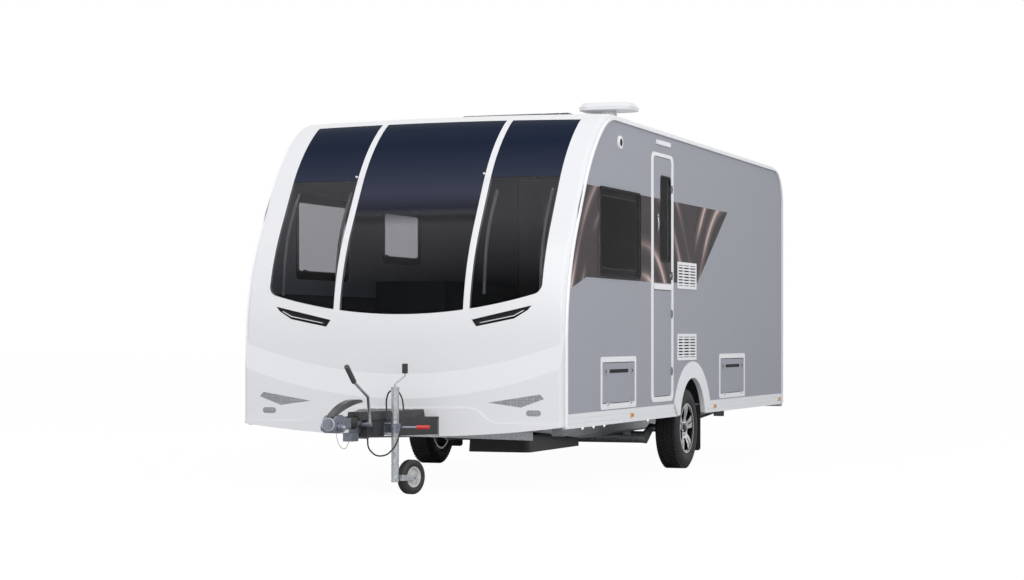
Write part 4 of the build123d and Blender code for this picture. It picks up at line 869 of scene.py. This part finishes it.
class CARAVAN_OT_front_fittings(bpy.types.Operator):
    """Caps on the window pillars, blind posts behind the glass, painted shade and grip highlights in the
    grab pockets, flue mouth
    """

    bl_idname = "caravan.front_fittings"
    bl_label = "Front fittings"

    def execute(self, context):
        out = (0.0, -math.sin(CAP_LEAN), math.cos(CAP_LEAN))
        caps = [(sign * PILLAR_X, at(SPLIT_STATION) - 0.0408, SPLIT_HEIGHT + 0.0239) for sign in (-1, 1)]
        settle(buttons("pillar_caps", caps, 0.009, 0.005, out), *CHROMED)
        for side, sign in SIDES:
            for place, x in POSTS.items():
                points = [(sign * x, at(station), z) for station, z in POST_RUN]
                settle(wire(f"blind_post_{side}_{place}", points, 0.011), "shade_cloth", "trim_white",
                       smooth=True)
            placed = grip_place(sign, GRIP_DEPTH - 0.0006)
            # painted shade: a dark sheet on the pocket floor stands for the shade in the pocket
            shade_sheet = plate(f"grip_lining_{side}", [GRIP_POCKET], 0.001, placed)
            settle(shade_sheet, "seam_black", "black_plastic")
            # painted highlight: a white strip on the grip bar stands for its highlight
            highlight_strip = plate(f"grip_inlay_{side}", [GRIP_HIGHLIGHT], 0.001, grip_place(sign, 0.0013))
            settle(highlight_strip, *WHITE)
        settle(buttons("flue_mouth", [FLUE], 0.026, 0.0016, (1, 0, 0), 32, 1.0), "seam_black",
               "black_plastic")
        return {"FINISHED"}


# Tail: how far its upper face lies before the bumper, the blank plate and the high lamp as half width, low
# and high, the reflectors' place and size, and the hand rails as (out, height)
TAIL_STEP = 0.022
NUMBER_PLATE = (0.26, 0.725, 0.840)
HIGH_LAMP = (0.22, 2.16, 2.19)
REFLECTOR_X = 0.62
REFLECTOR_Z = 0.50
REFLECTOR_SIZE = (0.10, 0.01, 0.04)
RAIL_X = 0.86
RAIL_RUN = ((0.0, 0.98), (0.017, 1.00), (0.017, 1.22), (0.0, 1.24))


def mid_rect(half, low, high):
    """Rectangle about the centre line."""
    return [(-half, low), (half, low), (half, high), (-half, high)]


class CARAVAN_OT_rear_fittings(bpy.types.Operator):
    """Blank number plate, reflectors, high brake lamp and hand rails on the tail"""

    bl_idname = "caravan.rear_fittings"
    bl_label = "Rear fittings"

    def execute(self, context):
        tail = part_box("rear_panel")[1].y
        upper = tail - TAIL_STEP
        board = plate("number_plate", [mid_rect(*NUMBER_PLATE)], 0.003, nose_place(upper + 0.0012))
        settle(soften(board, 0.001), "plate_blank", "trim_white")
        lamp = plate("high_brake_lamp", [mid_rect(*HIGH_LAMP)], 0.016, nose_place(upper - 0.006))
        settle(soften(lamp, 0.004), "red_lens", "lamp_red")
        reflectors = [block((sign * REFLECTOR_X, tail - 0.0056, REFLECTOR_Z), REFLECTOR_SIZE)
                      for sign in (-1, 1)]
        settle(soften(blocks("rear_reflectors", reflectors), 0.003), "red_lens", "lamp_red")
        for side, sign in (("right", -1), ("left", 1)):
            points = [(sign * RAIL_X, upper - 0.006 + out, z) for out, z in RAIL_RUN]
            settle(wire(f"rear_grip_{side}", points, 0.009), *WHITE, smooth=True)
        return {"FINISHED"}


# Wheels: tyre and cap as (across, radius), the tread's ribs and blocks, and where caps and bolts sit
TYRE_PROFILE = [(0.0745, 0.1823), (0.0745, 0.192), (0.083, 0.205), (0.0895, 0.222), (0.0915, 0.240),
                (0.0895, 0.262), (0.0855, 0.266), (0.0845, 0.279), (0.078, 0.290), (0.066, 0.2965),
                (0.0, 0.2985)]
CAP_PROFILE = [(0.0, 0.001), (0.012, 0.001), (0.011, 0.020), (0.007, 0.027), (0.0, 0.029)]
TREAD_RIBS = (-0.057, -0.030, 0.0, 0.030, 0.057)
TREAD_BLOCK = (0.024, 0.0245, 0.0105)
TREAD_SINK = 0.006
TREAD_SKEW = 14.0
CAP_FACE = 1.072
BOLT_FACE = 1.069
BOLT_CIRCLE = 0.047
BOLT_TURNS = (126, 198, 270, 342, 414)


class CARAVAN_OT_wheels(bpy.types.Operator):
    """Tyres with their tread, wheel bolts and centre caps"""

    bl_idname = "caravan.wheels"
    bl_label = "Wheels"

    def tread(self, name, centre, rows):
        """Rows of skewed blocks round a tyre, every other rib half a row on."""
        placements = []
        for row in range(rows):
            for index, x in enumerate(TREAD_RIBS):
                turn = Matrix.Rotation(2 * math.pi * (row + 0.5 * (index % 2)) / rows, 4, "X")
                skew = Matrix.Rotation(math.radians(TREAD_SKEW * (index - 2)), 4, "Z")
                out = Matrix.Translation((x, 0, TYRE_RADIUS - TREAD_SINK))
                placements.append(Matrix.Translation(centre) @ turn @ out @ skew
                                  @ Matrix.Diagonal((*TREAD_BLOCK, 1.0)))
        return blocks(name, placements)

    def execute(self, context):
        rows = context.scene.caravan_sizes.tread_rows
        profile = TYRE_PROFILE + [(-x, r) for x, r in reversed(TYRE_PROFILE[:-1])]
        for side, sign in SIDES:
            body = f"wheel_{side}"
            low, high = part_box(f"tyre_{side}")
            centre = ((low.x + high.x) / 2, AXLE_Y, TYRE_RADIUS)
            tyre = settle(lathe(f"tyre_carcass_{side}", profile, centre), "tyre_rubber", "tyre_black", body,
                          smooth=True)
            settle(self.tread(f"tyre_tread_{side}", centre, rows), "tyre_rubber", "tyre_black", body)
            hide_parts(f"tyre_{side}")
            cap = [(sign * x, r) for x, r in CAP_PROFILE]
            settle(lathe(f"centre_cap_{side}", cap, (sign * CAP_FACE, AXLE_Y, TYRE_RADIUS), 40),
                   "black_moulding", "hub_plastic", body, True)
            bolts = [(sign * BOLT_FACE, AXLE_Y + BOLT_CIRCLE * math.cos(math.radians(turn)),
                      TYRE_RADIUS + BOLT_CIRCLE * math.sin(math.radians(turn))) for turn in BOLT_TURNS]
            settle(buttons(f"wheel_bolts_{side}", bolts, 0.0095, 0.014, (sign, 0, 0), 6), *CHROMED, body)
        return {"FINISHED"}


# Mudflaps: across, up and down, cut corner, station
FLAP_SPAN = (0.890, 1.095)
FLAP_HEIGHTS = (0.12, 0.47)
FLAP_CORNER = 0.015
FLAP_STATION = 3.290


class CARAVAN_OT_mudflaps(bpy.types.Operator):
    """Rubber flaps hung behind the wheels"""

    bl_idname = "caravan.mudflaps"
    bl_label = "Mudflaps"

    def execute(self, context):
        low, high = FLAP_HEIGHTS
        for side, sign in SIDES:
            x0, x1 = sorted(sign * x for x in FLAP_SPAN)
            outline = [(x0, low + FLAP_CORNER), (x0 + FLAP_CORNER, low), (x1 - FLAP_CORNER, low),
                       (x1, low + FLAP_CORNER), (x1, high), (x0, high)]
            flap = plate(f"mudflap_{side}", [outline], 0.005, nose_place(at(FLAP_STATION)))
            settle(soften(flap, 0.001), *RUBBER)
        return {"FINISHED"}


# Hitch: nose of the coupling, handbrake lever as (station, height), and the jockey wheel's clamp with the
# direction in which its grip and the crank stand out
NOSE_PLACE = (0.0, at(-1.142), 0.468)
NOSE_PROFILE = [(-0.0008, 0.034), (-0.0008, 0.0405), (0.012, 0.0405), (0.012, 0.034)]
LEVER_X = 0.093
LEVER_RUN = ((-0.731, 0.466), (-0.759, 0.627), (-0.968, 0.724), (-1.078, 0.820))
CLAMP = Vector((0.170, at(-0.515), 0.430))
CLAMP_SIDE = Vector((0.937, 0.35, 0.0))
CLAMP_GRIP = (0.136, 0.16, 0.19, 0.2165)
CRANK_REACH = 0.062
CRANK_HEIGHT = 0.801
PAD_BOLTS = (0.0755, at(-1.070), 0.448)
COVER_SCREWS = (0.12, (-0.30, -0.14), 0.5335)


class CARAVAN_OT_hitch_fittings(bpy.types.Operator):
    """Nose ring and bolts of the coupling, sleeves of the levers and the crank, screws of the cover"""

    bl_idname = "caravan.hitch_fittings"
    bl_label = "Hitch fittings"

    def execute(self, context):
        nose = lathe("nose_ring", NOSE_PROFILE, (0, 0, 0), 48)
        nose.data.transform(Matrix.Translation(NOSE_PLACE) @ Matrix.Rotation(math.radians(90), 4, "Z"))
        settle(soften(nose, 0.002), "grey_plastic", "hub_plastic")
        lever = [Vector((LEVER_X, at(station), z)) for station, z in LEVER_RUN]
        start, end = lever[-2:]
        ribs = [start.lerp(end, 0.12 + 0.17 * step) for step in range(5)]
        settle(buttons("handbrake_ribs", ribs, 0.0172, 0.010, (end - start).normalized(), 24), *RUBBER)
        grip = [tuple(CLAMP + CLAMP_SIDE * distance) for distance in CLAMP_GRIP]
        settle(wire("clamp_grip", grip, 0.0135), "red_plastic", "lamp_red", smooth=True)
        crank = CLAMP + CLAMP_SIDE * CRANK_REACH
        knob = buttons("crank_knob", [(crank.x, crank.y, CRANK_HEIGHT)], 0.0185, 0.062, (0, 0, 1), 24, 1.0)
        settle(soften(knob, 0.004), *RUBBER)
        tube = [tuple(point) for point in lever[:-1]]
        settle(wire("handbrake_tube", tube, 0.0097, "POLY"), "zinc", "galvanised_steel", smooth=True)
        x, y, z = PAD_BOLTS
        pads = [(sign * x, y, z) for sign in (-1, 1)]
        settle(buttons("friction_pad_bolts", pads, 0.015, 0.006, (1, 0, 0), 6), "zinc", "galvanised_steel")
        x, stations, z = COVER_SCREWS
        screws = [(sign * x, at(station), z) for sign in (-1, 1) for station in stations]
        settle(buttons("cover_screws", screws, 0.008, 0.003, (0, 0, 1)), "grey_plastic", "hub_plastic")
        return {"FINISHED"}


class CARAVAN_OT_roof_fittings(bpy.types.Operator):
    """Frame of the solar panel"""

    bl_idname = "caravan.roof_fittings"
    bl_label = "Roof fittings"

    def execute(self, context):
        low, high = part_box("solar_panel")
        outer, inner = ([(low.x + lip, low.y + lip), (high.x - lip, low.y + lip),
                         (high.x - lip, high.y - lip), (low.x + lip, high.y - lip)] for lip in (0.0, 0.028))
        rim = plate("solar_rim", [outer, inner], 0.003, Matrix.Translation((0.0, 0.0, high.z + 0.0017)))
        settle(soften(rim, 0.001), "wire_rope", "alloy")
        return {"FINISHED"}


# Lounge seats: heights, edges of the side ones off the middle, their stations, and the middle one
SEAT_LOW = 0.9015
SEAT_HIGH = 1.02
SEAT_SPAN = (0.475, 0.938)
SEAT_STATIONS = {"front": (0.66, 1.20), "rear": (1.21, 1.75)}
MIDDLE_HALF = 0.46
MIDDLE_STATIONS = (0.15, 0.635)
SEAT_PULL = 0.03
SEAT_EDGE = 0.62


class CARAVAN_OT_cabin_fittings(bpy.types.Operator):
    """Seat cushions of the lounge"""

    bl_idname = "caravan.cabin_fittings"
    bl_label = "Cabin fittings"

    def cushion(self, name, low, high, fill=0.75):
        """A crowned pad with pulled-in sides between two corners."""
        shape = bmesh.new()
        bmesh.ops.create_grid(shape, x_segments=12, y_segments=12, size=0.5)
        size = [b - a for a, b in zip(low, high)]
        for vert in list(shape.verts):
            u, v = vert.co.x * 2, vert.co.y * 2
            crown = (1 - u ** 4) * (1 - v ** 4)
            pull = 1 - SEAT_PULL * (1 - u * u) * abs(v) ** 3 - SEAT_PULL * (1 - v * v) * abs(u) ** 3
            vert.co = Vector((low[0] + size[0] * (0.5 + u * pull / 2),
                              low[1] + size[1] * (0.5 + v * pull / 2),
                              low[2] + size[2] * (SEAT_EDGE + (1 - SEAT_EDGE) * crown)))
        made = bmesh.ops.extrude_face_region(shape, geom=list(shape.faces))
        for vert in (item for item in made["geom"] if isinstance(item, bmesh.types.BMVert)):
            vert.co.z = low[2]
        pad = mesh_from(name, shape)
        settle(soften(pad, 0.012, 3), "seat_cloth", "cabin_wood", smooth=True)

    def execute(self, context):
        for side, sign in SIDES:
            for place, (start, end) in SEAT_STATIONS.items():
                x0, x1 = sorted(sign * x for x in SEAT_SPAN)
                self.cushion(f"seat_{side}_{place}", (x0, at(start), SEAT_LOW), (x1, at(end), SEAT_HIGH))
        start, end = MIDDLE_STATIONS
        self.cushion("seat_middle", (-MIDDLE_HALF, at(start), SEAT_LOW), (MIDDLE_HALF, at(end), SEAT_HIGH))
        return {"FINISHED"}


OPERATORS = [CARAVAN_OT_finishes, CARAVAN_OT_stage, CARAVAN_OT_side_graphics, CARAVAN_OT_window_fittings,
             CARAVAN_OT_door_fittings, CARAVAN_OT_locker_fittings, CARAVAN_OT_front_fittings,
             CARAVAN_OT_rear_fittings, CARAVAN_OT_wheels, CARAVAN_OT_mudflaps, CARAVAN_OT_hitch_fittings,
             CARAVAN_OT_roof_fittings, CARAVAN_OT_cabin_fittings]


class CARAVAN_PT_panel(bpy.types.Panel):
    """Lists the caravan's colours, sizes and operators"""

    bl_idname = "CARAVAN_PT_panel"
    bl_label = "Caravan"
    bl_space_type = "VIEW_3D"
    bl_region_type = "UI"
    bl_category = "Caravan"

    def draw(self, context):
        for group in (context.scene.caravan_colours, context.scene.caravan_sizes):
            for key in group.__annotations__:
                self.layout.prop(group, key)
        for operator in OPERATORS:
            self.layout.operator(operator.bl_idname)


CLASSES = [CaravanColours, CaravanSizes, *OPERATORS, CARAVAN_PT_panel]


def register():
    for made in CLASSES:
        bpy.utils.register_class(made)
    bpy.types.Scene.caravan_colours = bpy.props.PointerProperty(type=CaravanColours)
    bpy.types.Scene.caravan_sizes = bpy.props.PointerProperty(type=CaravanSizes)


def unregister():
    del bpy.types.Scene.caravan_colours
    del bpy.types.Scene.caravan_sizes
    for made in reversed(CLASSES):
        bpy.utils.unregister_class(made)


def main():
    """Runs the operators in order."""
    register()
    for operator in OPERATORS:
        family, name = operator.bl_idname.split(".")
        getattr(getattr(bpy.ops, family), name)()


if __name__ == "__main__":
    main()
